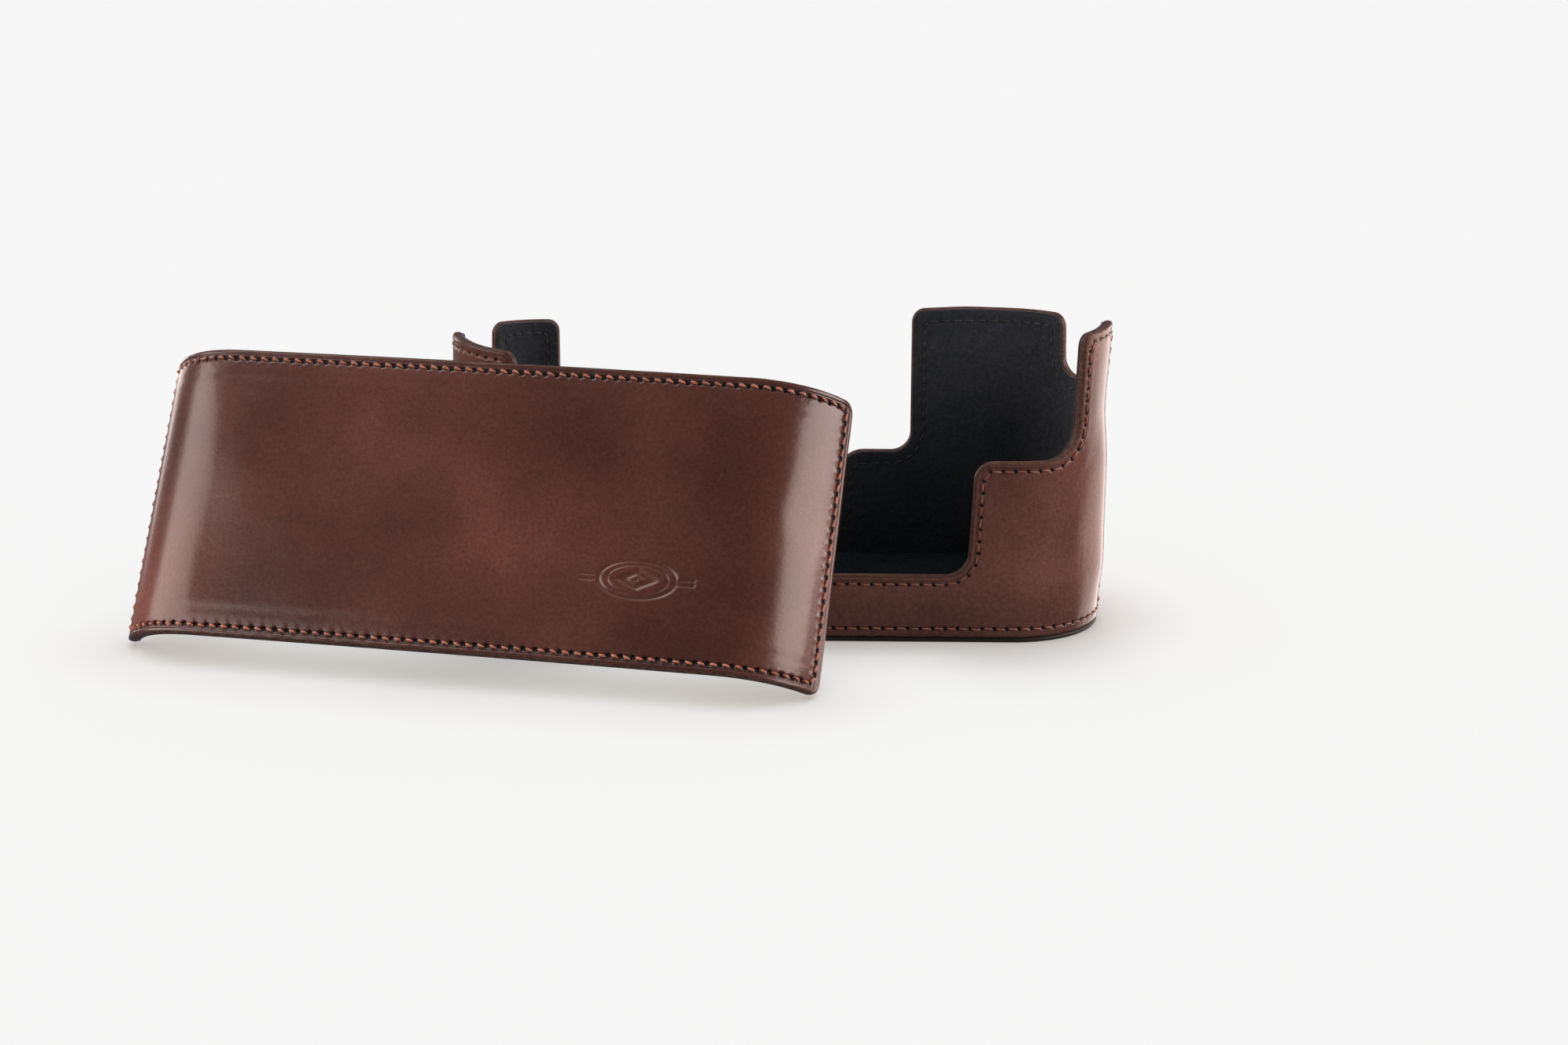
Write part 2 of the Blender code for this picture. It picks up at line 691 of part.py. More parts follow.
def build_cover(mats):
    stations = cover_stations()
    pose = cover_pose()

    outline = cover_outline(0.0, 0.0, COVER_CORNER_R)
    shell_bm = pattern_solid(stations, outline, 0.0, COVER_LEATHER_T, False, RIM_CHAMFER)
    shell = add_object("cover_leather", shell_bm, mats["cover_leather"], pose)
    outline = cover_outline(COVER_BORDER, COVER_BORDER, 1.5)
    pocket_bm = pattern_solid(stations, outline, COVER_FIELD_T, COVER_LEATHER_T + 0.8, False)
    cut(shell, "cut_cover_field", pocket_bm, pose)

    outline = cover_outline(COVER_BOARD_INSET, COVER_BOARD_INSET, 1.2)
    board_bm = pattern_solid(stations, outline, COVER_BOARD_FACE, COVER_BOARD_BACK, False)
    board = add_object("cover_stiffener", board_bm, mats["board"], pose)

    outline = cover_outline(0.5, 0.5, COVER_CORNER_R - 0.5)
    lining_bm = pattern_solid(stations, outline, COVER_LINING_FACE, COVER_T, False)
    add_object("cover_lining", lining_bm, mats["suede"], pose)

    for name, x in (("left", -MAGNET_X), ("right", MAGNET_X)):
        at = wall_point(stations, x, 0.0, COVER_BOARD_FACE)
        hole = facing_disc(x, at.y - 0.8, at.y + 1.4, MAGNET_Z, MAGNET_POCKET_R, 20)
        cut(board, "cut_cover_magnet_" + name, hole, pose)
        front = at.y + 0.1
        disc = facing_disc(x, front, front + 0.5, MAGNET_Z, MAGNET_R, 20)
        add_object("cover_magnet_" + name, disc, mats["nickel"], pose)

    outline = cover_outline(COVER_END_SEAM_INSET, COVER_SEAM_INSET, 1.4)
    add_object("cover_thread", closed_seam(stations, outline, 0.0, 1), mats["thread"], pose)
    inner_bm = closed_seam(stations, outline, COVER_T, -1)
    add_object("cover_thread_inner", inner_bm, mats["thread"], pose)


def build():
    clear_scene()
    mats = {
        "case_leather": make_material("case_leather", LEATHER_WARM, 0.34),
        "cover_leather": make_material("cover_leather", LEATHER_BROWN, 0.3),
        "suede": make_material("suede", SUEDE_BLACK, 0.95),
        "floor_suede": make_material("floor_suede", SUEDE_BLACK, 0.95),
        "thread": make_material("thread", THREAD_RUST, 0.6),
        "sole": make_material("sole", SOLE_DARK, 0.5),
        "board": make_material("board", BOARD_GREY, 0.9),
        "steel": make_material("steel", STEEL, 0.3, 1.0),
        "brass": make_material("brass", BRASS, 0.35, 1.0),
        "nickel": make_material("nickel", NICKEL, 0.28, 1.0),
    }
    build_half_case(mats)
    build_cover(mats)


build()
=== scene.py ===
"""Looks for the two-piece leather ever-ready case.

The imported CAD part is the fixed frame. Each visible piece is rebuilt here as
fine mesh in its own flat pattern (length s along the wall, height z), given
its seam dents, rounded edges and swells, and then wrapped on the wall's path.
Lengths are in millimetres until a mesh is made.
"""

import json
import math

import bmesh
import bpy
import numpy as np
from mathutils import Matrix, Vector


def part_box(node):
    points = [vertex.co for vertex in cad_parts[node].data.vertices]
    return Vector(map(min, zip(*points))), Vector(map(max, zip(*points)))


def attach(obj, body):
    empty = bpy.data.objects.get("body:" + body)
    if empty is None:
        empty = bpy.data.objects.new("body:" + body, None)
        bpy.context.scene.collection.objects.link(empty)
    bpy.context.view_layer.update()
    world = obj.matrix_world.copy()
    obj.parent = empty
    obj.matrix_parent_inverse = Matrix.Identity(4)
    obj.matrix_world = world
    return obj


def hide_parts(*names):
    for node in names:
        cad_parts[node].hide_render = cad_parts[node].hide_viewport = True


MM = 0.001

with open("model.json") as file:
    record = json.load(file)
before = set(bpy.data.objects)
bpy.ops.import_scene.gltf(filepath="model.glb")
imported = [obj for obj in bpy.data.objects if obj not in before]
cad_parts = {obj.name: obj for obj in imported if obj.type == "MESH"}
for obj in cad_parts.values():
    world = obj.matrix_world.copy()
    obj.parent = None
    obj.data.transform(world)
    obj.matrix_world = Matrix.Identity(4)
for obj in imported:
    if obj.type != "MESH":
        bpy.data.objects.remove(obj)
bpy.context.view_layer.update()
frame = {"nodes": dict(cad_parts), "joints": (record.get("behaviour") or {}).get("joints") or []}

# Half-case, from the frame.
WALL_LOW, WALL_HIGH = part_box("case_wall_leather")
FLOOR_LOW, FLOOR_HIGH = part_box("case_floor_lining")
SOLE_LOW, SOLE_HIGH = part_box("case_sole")
CASE_W = (WALL_HIGH.x - WALL_LOW.x) / MM
CASE_D = (WALL_HIGH.y - WALL_LOW.y) / MM
END_R = CASE_D / 2
FLAT_HALF = CASE_W / 2 - END_R
END_ARC = math.pi * END_R
HALF_ROUND = 2 * FLAT_HALF + END_ARC
WALL_FOOT_Z = WALL_LOW.z / MM
WALL_TOP_Z = WALL_HIGH.z / MM
FLOOR_Z = FLOOR_HIGH.z / MM
SOLE_T = SOLE_HIGH.z / MM

# Half-case outline heights and lengths, as in the CAD.
NOTCH_Z = 15.2
SHELF_Z = 40.6
SIDE_NOTCH_Z = 52.5
RIGHT_TAB_Z = 67.6
LEFT_TAB_Z = 64.3
LEFT_TAB_FRONT_Z = 64.0
REAR_TAB_Z = 66.4
REAR_SMALL_TAB_Z = 63.0
REAR_SHELF_Z = 33.3
SCREEN_Z = 15.0
NOTCH_RIGHT_S = 41.6
NOTCH_LEFT_S = -38.0
SIDE_TAB_FRONT_S = 66.4
SIDE_TAB_REAR_S = 85.5
LEFT_TAB_FRONT_S = -56.0
REAR_TAB_END_S = 100.9
REAR_TAB_INNER_X = 29.6
SCREEN_RIGHT_X = 13.0
SCREEN_LEFT_X = -50.1
REAR_SMALL_TAB_END_S = -99.8

# The right-hand wing stands away from the body towards its top and back.
WING_FLARE = 1.45
WING_FRONT_Y = -17.0
WING_RUN_Y = 20.0
WING_Z = (46.0, 67.0)
WING_X = (50.0, 60.0)

# Soft swells of the end walls: where they rise, from their low to high side.
END_SWELL = 0.85
END_SWELL_S = (67.0, 78.0)
END_SWELL_FAR_S = (104.0, 92.0)
END_SWELL_FOOT_Z = (4.0, 15.0)
END_SWELL_TOP_Z = (50.0, 36.0)

# Layers, measured inwards from a wall's outer face.
CASE_LEATHER_T = 2.0
CASE_LINING_T = 2.4
COVER_LEATHER_T = 2.2
COVER_T = 2.6
EDGE_R = 0.6
FOOT_T = 1.5
CREASE_INSET = 1.22
CREASE_DEPTH = 0.13
CREASE_RUN = 0.3
LINING_SET_BACK = 0.24
LINING_EDGE_R = 0.18
LINING_EDGE = LINING_SET_BACK + LINING_EDGE_R

# Seams.
RIM_SEAM_INSET = 2.0
SOLE_SEAM_Z = 3.2
THREAD_END = ((83.5, SOLE_SEAM_Z - 0.4), (84.0, SOLE_SEAM_Z + 5.4))
THREAD_END_PITCH = 2.9
THREAD_END_R = 0.34
CASE_PITCH = 2.7
COVER_PITCH = 2.6
CASE_THREAD_R = 0.15
COVER_THREAD_R = 0.25
LINING_THREAD_R = 0.12
CASE_HOLE_R = 0.42
COVER_HOLE_R = 0.6

# What a stitch does to the leather beside it, and how far from it.
STITCH_REACH = 3.2
SWELL = 0.14
THREAD_BED = 0.17
PIT_REACH = 2.4
PIT_DEPTH = 0.55
PIT_DISH = 0.07

# Front cover.
COVER_FLAT_HALF = 57.05
COVER_BOW_R = 2200.0
COVER_END_R = 21.6
COVER_WRAP = math.radians(69.2)
COVER_HALF = COVER_FLAT_HALF + COVER_END_R * COVER_WRAP
COVER_H = 63.7
COVER_CORNER_R = 3.0
COVER_SEAM_INSET = 2.0
COVER_END_SEAM_INSET = 2.7
COVER_FOOT_X = -68.4
COVER_FOOT_Y = -53.75
COVER_LIFT = 0.02
ORNAMENT_S = 39.0
ORNAMENT_Z = 18.4

# Round spots: s, z, half-width, half-height, amount. Dents and swells are in
# millimetres; tone spots are negative where the leather is made darker, and
# some of them are painted shade and painted highlight.
CASE_DENT = (73.0, 22.0, 6.0, 8.0, -0.3)
# Painted shade: the wall made darker just before its right end's highlight.
CASE_PAINTED_SHADE = (63.5, 18.0, 5.0, 15.0, -0.7)
COVER_DENT = (72.0, 36.0, 5.0, 6.0, -0.3)
COVER_SWELL = (-51.0, 40.0, 9.5, 15.0, 0.8)
# Tone spots of the cover. The pale spot low on the left end is a painted highlight; the others make
# the colour lighter and darker in patches.
COVER_TONE_AND_PAINTED_LIGHT = (
    (-23.0, 50.0, 14.0, 10.0, 0.3),
    (5.0, 31.0, 16.0, 14.0, 0.45),
    (15.0, 11.0, 14.0, 8.0, 0.3),
    (-50.0, 48.0, 9.0, 14.0, -0.5),
    # Painted highlight: the left end made paler low down.
    (-76.0, 7.0, 15.0, 22.0, 2.4),
    (-63.0, 36.0, 7.0, 18.0, 0.9),
    (-45.0, 8.0, 10.0, 13.0, -0.4),
    (54.0, 36.0, 14.0, 34.0, -0.35),
)

# Short creases beside the rim seam, as lengths along the wall.
CASE_CREASES = ((27.0, 40.0), (47.0, 57.0), (-38.0, -26.0))
CASE_CREASE_INSET = 4.7

# Waves of the surface that meet at the back of the half-case.
WAVES = 15
WAVE = 2 * HALF_ROUND / WAVES

# Base: the floor and the sole, and the sole's side as (inset, depth).
FLOOR_INSET = 2.5
SOLE_INSET = 1.2
SOLE_SECTION = (
    (0.0, 1.3),
    (0.0, 0.6),
    (0.08, 0.34),
    (0.3, 0.19),
    (0.6, 0.16),
    (0.85, 0.22),
    (1.0, 0.4),
    (1.04, 1.3),
)

# Screw.
SCREW_X = -12.0
HEAD_H = 3.1
SHANK_R = 3.0
CORE_R = 2.62
CREST_R = 3.17
GROOVE_Z = (6.85, 7.7)
SLOT_BOX = (18.0, 1.7, 1.8)
SLOT_BOX_Z = 0.7
FLUTES = 60
SCREW_PITCH = 1.27
SCREW_START_Z = 7.95
SCREW_STEPS = 32
SCREW_FADE = 12
HEAD_POCKET_R = 8.7
FLOOR_HOLE_R = 6.4

# Mesh fineness.
LEATHER_CELL = 0.6
LINING_CELL = 0.62
LEVEL_CELL = 0.7
RIM_STEP = 0.45
FINEST = 4
SEAM_REACH = 1.45
HOLE_REACH = 0.85
WELD_GAP = 3e-5
EDGE_SEED = 3


# ---- paths


def case_path(s, depth):
    """Points and outward directions round the half-case, for arrays of s."""
    s = (s + HALF_ROUND) % (2 * HALF_ROUND) - HALF_ROUND
    side = np.where(s < 0, -1.0, 1.0)
    a = np.abs(s)
    turn = np.clip((a - FLAT_HALF) / END_R, 0.0, math.pi)
    nx = np.sin(turn)
    ny = -np.cos(turn)
    past = np.maximum(a - FLAT_HALF - END_ARC, 0.0)
    x = np.minimum(a, FLAT_HALF) - past
    x = x + nx * END_R - nx * depth
    y = ny * END_R - ny * depth
    return x * side, y, nx * side, ny


def cover_path(u, depth):
    """Points and outward directions along the cover, in its own frame."""
    side = np.where(u < 0, -1.0, 1.0)
    a = np.abs(u)
    flat = np.minimum(a, COVER_FLAT_HALF)
    past = np.maximum(a - COVER_FLAT_HALF, 0.0)
    t0 = flat / COVER_BOW_R
    t = t0 + past / COVER_END_R
    x = COVER_BOW_R * np.sin(t0) + COVER_END_R * (np.sin(t) - np.sin(t0))
    y = COVER_BOW_R * (1 - np.cos(t0)) + COVER_END_R * (np.cos(t0) - np.cos(t))
    nx = np.sin(t)
    ny = -np.cos(t)
    return (x - nx * depth) * side, y - ny * depth, nx * side, ny


def cover_matrix():
    """The cover's frame, turned to face the way it lifts off."""
    joint = next(j for j in frame["joints"] if j["child"] == "front_cover")
    outward = Vector(joint["axis"]).normalized()
    inwards = -outward
    along = Vector((inwards.y, -inwards.x, 0.0)).normalized()
    upwards = along.cross(inwards)
    wrap_depth = float(cover_path(np.array([COVER_HALF]), 0.0)[1][0])
    lean = math.asin(-inwards.z)
    height = wrap_depth * math.sin(lean) + COVER_LIFT
    matrix = Matrix((along, inwards, upwards)).transposed().to_4x4()
    matrix.translation = Vector((COVER_FOOT_X, COVER_FOOT_Y, height)) * MM
    return matrix


# Each panel is a path and its place.
CASE = (case_path, None)
COVER = (cover_path, cover_matrix())


# ---- outlines


def fillet(corners, closed=False, step_deg=5.0):
    """Rounds each (s, z, radius) corner into short straight steps."""
    line = []
    count = len(corners)
    for index, (s, z, radius) in enumerate(corners):
        at_end = not closed and index in (0, count - 1)
        here = Vector((s, z))
        if at_end or radius <= 0:
            line.append(here)
            continue
        before = Vector(corners[index - 1][:2])
        after = Vector(corners[(index + 1) % count][:2])
        into = (before - here).normalized()
        out = (after - here).normalized()
        half = into.angle(out) / 2
        reach = radius / math.tan(half)
        room = 0.49 * min((before - here).length, (after - here).length)
        reach = min(reach, room)
        radius = reach * math.tan(half)
        middle = here + (into + out).normalized() * (radius / math.sin(half))
        start = here + into * reach - middle
        turn = math.pi - 2 * half
        steps = max(2, math.ceil(math.degrees(turn) / step_deg))
        sign = 1.0 if into.x * out.y - into.y * out.x < 0 else -1.0
        for step in range(steps + 1):
            angle = sign * turn * step / steps
            c = math.cos(angle)
            d = math.sin(angle)
            spun = Vector((start.x * c - start.y * d, start.x * d + start.y * c))
            line.append(middle + spun)
    return np.array([(p.x, p.y) for p in line])


def case_rim():
    """The half-case's top edge from its back middle, round by the left."""
    rear_s = HALF_ROUND
    inner_s = rear_s - REAR_TAB_INNER_X
    right_s = rear_s - SCREEN_RIGHT_X
    left_s = -(rear_s + SCREEN_LEFT_X)
    return fillet(
        [
            (-HALF_ROUND, SCREEN_Z, 0),
            (left_s, SCREEN_Z, 4.0),
            (left_s, REAR_SMALL_TAB_Z, 2.6),
            (REAR_SMALL_TAB_END_S, REAR_SMALL_TAB_Z + 0.2, 2.6),
            (REAR_SMALL_TAB_END_S + 0.4, SIDE_NOTCH_Z, 4.0),
            (-SIDE_TAB_REAR_S, SIDE_NOTCH_Z, 4.0),
            (-SIDE_TAB_REAR_S, LEFT_TAB_Z - 0.3, 3.0),
            (-74.0, LEFT_TAB_Z + 0.2, 40.0),
            (LEFT_TAB_FRONT_S, LEFT_TAB_FRONT_Z - 0.2, 3.4),
            (LEFT_TAB_FRONT_S + 0.6, SHELF_Z, 4.5),
            (NOTCH_LEFT_S - 0.5, SHELF_Z, 4.0),
            (NOTCH_LEFT_S, NOTCH_Z, 5.2),
            (NOTCH_RIGHT_S - 0.4, NOTCH_Z, 5.2),
            (NOTCH_RIGHT_S + 0.9, SHELF_Z, 4.2),
            (SIDE_TAB_FRONT_S - 0.3, SHELF_Z, 8.0),
            (SIDE_TAB_FRONT_S + 0.9, RIGHT_TAB_Z - 0.3, 3.0),
            (SIDE_TAB_REAR_S, RIGHT_TAB_Z + 0.1, 3.0),
            (SIDE_TAB_REAR_S, SIDE_NOTCH_Z, 4.0),
            (REAR_TAB_END_S - 0.4, SIDE_NOTCH_Z, 4.0),
            (REAR_TAB_END_S, REAR_TAB_Z - 0.5, 3.2),
            (inner_s - 12.0, REAR_TAB_Z + 0.2, 60.0),
            (inner_s, REAR_TAB_Z - 0.4, 3.0),
            (inner_s, REAR_SHELF_Z, 4.5),
            (right_s, REAR_SHELF_Z, 6.0),
            (right_s, SCREEN_Z, 4.0),
            (HALF_ROUND, SCREEN_Z, 0),
        ]
    )


def cover_outline(inset_ends, inset, corner_r):
    half = COVER_HALF - inset_ends
    low = inset
    high = COVER_H - inset
    corners = [(-half, low), (-half, high), (half, high), (half, low)]
    return fillet([(s, z, corner_r) for s, z in corners], closed=True)


def line_normals(line, closed):
    """Directions to the right of a line, at its points."""
    if closed:
        run = np.roll(line, -1, 0) - np.roll(line, 1, 0)
    else:
        run = np.gradient(line, axis=0)
    run /= np.linalg.norm(run, axis=1)[:, None]
    return np.stack([run[:, 1], -run[:, 0]], 1)


def spread(line, step, closed, even=None):
    """Even points along a line, about a step apart or an exact count."""
    points = np.vstack([line, line[:1]]) if closed else line
    lengths = np.linalg.norm(np.diff(points, axis=0), axis=1)
    total = np.concatenate([[0.0], np.cumsum(lengths)])
    count = even or max(2, round(total[-1] / step))
    at = np.linspace(0.0, total[-1], count + 1)
    found = np.stack([np.interp(at, total, points[:, k]) for k in (0, 1)], 1)
    return found[:-1] if closed else found


def offset(line, distance, closed):
    """A line moved to its right, with even points."""
    fine = spread(line, 0.1, closed)
    return fine + line_normals(fine, closed) * distance


# ---- distance fields


def distance_to(line, s, z, closed):
    """Least distance from each grid point to a line, with no sign."""
    points = np.vstack([line, line[:1]]) if closed else line
    best = np.full(s.shape, 1e9)
    for (ax, ay), (bx, by) in zip(points, points[1:]):
        rx = bx - ax
        ry = by - ay
        length = rx * rx + ry * ry
        if length < 1e-12:
            continue
        t = np.clip(((s - ax) * rx + (z - ay) * ry) / length, 0.0, 1.0)
        gap = (s - ax - t * rx) ** 2 + (z - ay - t * ry) ** 2
        np.minimum(best, gap, out=best)
    return np.sqrt(best)


def inside(polygon, s, z):
    """Which grid points lie in a polygon, by counting crossings."""
    odd = np.zeros(s.shape, bool)
    for (ax, ay), (bx, by) in zip(polygon, np.roll(polygon, -1, 0)):
        if ay == by:
            continue
        between = (ay > z) != (by > z)
        cross = s < (bx - ax) * (z - ay) / (by - ay) + ax
        odd ^= between & cross
    return odd


def signed(gap, within):
    return np.where(within, gap, -gap)


def case_field(s, z):
    """Distance in from the half-case's top edge."""
    far = HALF_ROUND + 12.0
    deep = -50.0
    line = np.vstack([[-far, SCREEN_Z], case_rim(), [far, SCREEN_Z]])
    closing = [[far, deep], [-far, deep]]
    gap = distance_to(line, s, z, False)
    return signed(gap, inside(np.vstack([line, closing]), s, z))


def cover_field(s, z):
    """Distance in from the cover's edge."""
    line = cover_outline(0.0, 0.0, COVER_CORNER_R)
    return signed(distance_to(line, s, z, True), inside(line, s, z))


# ---- smooth noise


def hash_noise(ix, iy, seed):
    n = (ix * 374761393 + iy * 668265263 + seed * 1442695041) & 0xFFFFFFFF
    n = ((n ^ (n >> 13)) * 1274126177) & 0xFFFFFFFF
    return ((n ^ (n >> 16)) & 0xFFFF) / 32767.5 - 1.0


def value_noise(s, z, size, seed, period=None):
    """Smooth noise from -1 to 1 with features of a given size."""
    u = s / size
    v = z / size
    iu = np.floor(u).astype(np.int64)
    iv = np.floor(v).astype(np.int64)
    fu = u - iu
    fv = v - iv
    fu = fu * fu * (3 - 2 * fu)
    fv = fv * fv * (3 - 2 * fv)
    wrap = (lambda i: i % period) if period else (lambda i: i)
    a = hash_noise(wrap(iu), iv, seed)
    b = hash_noise(wrap(iu + 1), iv, seed)
    c = hash_noise(wrap(iu), iv + 1, seed)
    d = hash_noise(wrap(iu + 1), iv + 1, seed)
    return (a * (1 - fu) + b * fu) * (1 - fv) + (c * (1 - fu) + d * fu) * fv


def smooth(low, high, x):
    t = np.clip((x - low) / (high - low), 0.0, 1.0)
    return t * t * (3 - 2 * t)


def bell(x, width):
    return np.exp(-((x / width) ** 2))


def spot(s, z, place):
    """A soft round swell of a given place, size and amount."""
    at_s, at_z, wide, high, amount = place
    return amount * bell(np.hypot((s - at_s) / wide, (z - at_z) / high), 1.0)


# ---- seams


def seam_holes(line, pitch, closed):
    """Needle holes, one more than the stitches unless the seam is closed."""
    points = np.vstack([line, line[:1]]) if closed else line
    total = np.linalg.norm(np.diff(points, axis=0), axis=1).sum()
    return spread(line, pitch, closed, even=max(1, round(total / pitch)))


def stitch_pairs(holes, closed):
    if closed:
        return list(zip(holes, np.roll(holes, -1, 0)))
    return list(zip(holes[:-1], holes[1:]))


def close_by(order, ordered, z, place, reach):
    """Which points lie in a square round a place, from points in order of s."""
    low, high = np.searchsorted(ordered, [place[0] - reach, place[0] + reach])
    near = order[low:high]
    return near[np.abs(z[near] - place[1]) < reach]


class Seam:
    """Needle holes along a line and what they do to the leather.

    inner is 1 when the right-hand side of the seam is the panel's inside.
    """

    def __init__(self, line, pitch, closed, hole_r, thread_r, inner=1.0):
        self.holes = seam_holes(line, pitch, closed)
        self.pairs = stitch_pairs(self.holes, closed)
        self.closed = closed
        self.hole_r = hole_r
        self.thread_r = thread_r
        self.inner = inner

    def gap(self, s, z):
        return distance_to(self.holes, s, z, self.closed)

    def hole_gap(self, s, z):
        best = np.full(s.shape, 1e9)
        for hole in self.holes:
            np.minimum(best, (s - hole[0]) ** 2 + (z - hole[1]) ** 2, out=best)
        return np.sqrt(best)

    def press(self, s, z, height, dark, strength):
        """Sinks the holes and threads, swells the leather beside them and marks painted shade in
        the holes.
        """
        order = np.argsort(s, kind="stable")
        ordered = s[order]
        rng = np.random.default_rng(len(self.holes))
        for start, end in self.pairs:
            middle = (start + end) / 2
            run = end - start
            pitch = np.linalg.norm(run)
            run = run / pitch
            near = close_by(order, ordered, z, middle, STITCH_REACH)
            ds = s[near] - middle[0]
            dz = z[near] - middle[1]
            along = ds * run[0] + dz * run[1]
            across = (ds * run[1] - dz * run[0]) * self.inner
            body = smooth(pitch / 2, pitch / 2 - 0.6, np.abs(along))
            under = bell(across, self.thread_r * 1.4) * body
            amount = 1 + 0.25 * rng.normal()
            swell = bell(across - 0.95, 0.42) * bell(along + 0.2 * pitch, pitch * 0.22) * amount
            swell *= 0.3 + 0.7 * abs(run[1])
            swell += 0.5 * bell(across + 0.8, 0.36) * bell(along + 0.3 * pitch, pitch * 0.2)
            height[near] += (SWELL * swell - THREAD_BED * under) * strength
        for hole in self.holes:
            near = close_by(order, ordered, z, hole, PIT_REACH)
            size = self.hole_r * (1 + 0.08 * rng.normal())
            gap = np.hypot(s[near] - hole[0], z[near] - hole[1]) / size
            pit = smooth(1.25, 0.55, gap)
            height[near] -= (PIT_DEPTH * pit + PIT_DISH * bell(gap, 2.3)) * strength
            # Painted shade in the needle hole, kept in dark.
            dark[near] = np.maximum(dark[near], smooth(1.22, 0.86, gap))


# ---- mesh makers


def to_mesh(name, points, faces, material, matrix=None, smooth_faces=True):
    """One object from points in millimetres and lists of faces."""
    mesh = bpy.data.meshes.new(name)
    mesh.from_pydata((points * MM).tolist(), [], faces)
    mesh.update()
    if matrix is not None:
        mesh.transform(matrix)
    mesh.materials.append(material)
    if smooth_faces:
        mesh.polygons.foreach_set("use_smooth", [True] * len(mesh.polygons))
    obj = bpy.data.objects.new(name, mesh)
    bpy.context.scene.collection.objects.link(obj)
    return obj


def open_wings(obj):
    points = np.empty(len(obj.data.vertices) * 3, np.float32)
    obj.data.vertices.foreach_get("co", points)
    points = points.reshape(-1, 3)
    x, y, z = points.T / MM
    back = np.clip((y - WING_FRONT_Y) / WING_RUN_Y, 0.0, 1.0) ** 1.3 * smooth(10.0, 5.0, y)
    points[:, 0] += WING_FLARE * back * smooth(*WING_Z, z) * smooth(*WING_X, x) * MM
    obj.data.vertices.foreach_set("co", points.ravel())
    obj.data.update()


def add_value(obj, name, values):
    attribute = obj.data.attributes.new(name, "FLOAT", "POINT")
    attribute.data.foreach_set("value", values.astype(np.float32))


def wrapped(path, s, z, depth):
    x, y, _, _ = path(s, depth)
    return np.stack([x, y, z], 1)


def leaf_cells(keep, open_cells, middle_s, middle_z, seams, extra):
    """Cells of three sizes as (column, row, size) in finest steps."""
    if not seams:
        rows, cols = np.nonzero(keep)
        return [(cols * FINEST, rows * FINEST, FINEST)]
    near = np.zeros(keep.shape, bool)
    flat = np.nonzero(open_cells)
    found = np.full(len(flat[0]), 1e9)
    for seam in seams:
        np.minimum(found, seam.gap(middle_s[flat], middle_z[flat]), out=found)
    chosen = found < SEAM_REACH
    if extra is not None:
        chosen |= extra(middle_s[flat], middle_z[flat])
    near[flat] = chosen
    rows, cols = np.nonzero(keep & ~near)
    leaves = [(cols * FINEST, rows * FINEST, FINEST)]
    rows, cols = np.nonzero(near)
    cell = middle_s[0, 1] - middle_s[0, 0]
    rows *= FINEST
    cols *= FINEST
    half_rows = np.concatenate([rows + dj for dj in (0, 2) for di in (0, 2)])
    half_cols = np.concatenate([cols + di for dj in (0, 2) for di in (0, 2)])
    at_s = middle_s[0, 0] + cell * ((half_cols + 1) / FINEST - 0.5)
    at_z = middle_z[0, 0] + cell * ((half_rows + 1) / FINEST - 0.5)
    found = np.full(len(at_s), 1e9)
    for seam in seams:
        np.minimum(found, seam.hole_gap(at_s, at_z), out=found)
    split = found < HOLE_REACH
    leaves.append((half_cols[~split], half_rows[~split], 2))
    rows = half_rows[split]
    cols = half_cols[split]
    fine_rows = np.concatenate([rows + dj for dj in (0, 1) for di in (0, 1)])
    fine_cols = np.concatenate([cols + di for dj in (0, 1) for di in (0, 1)])
    leaves.append((fine_cols, fine_rows, 1))
    return leaves


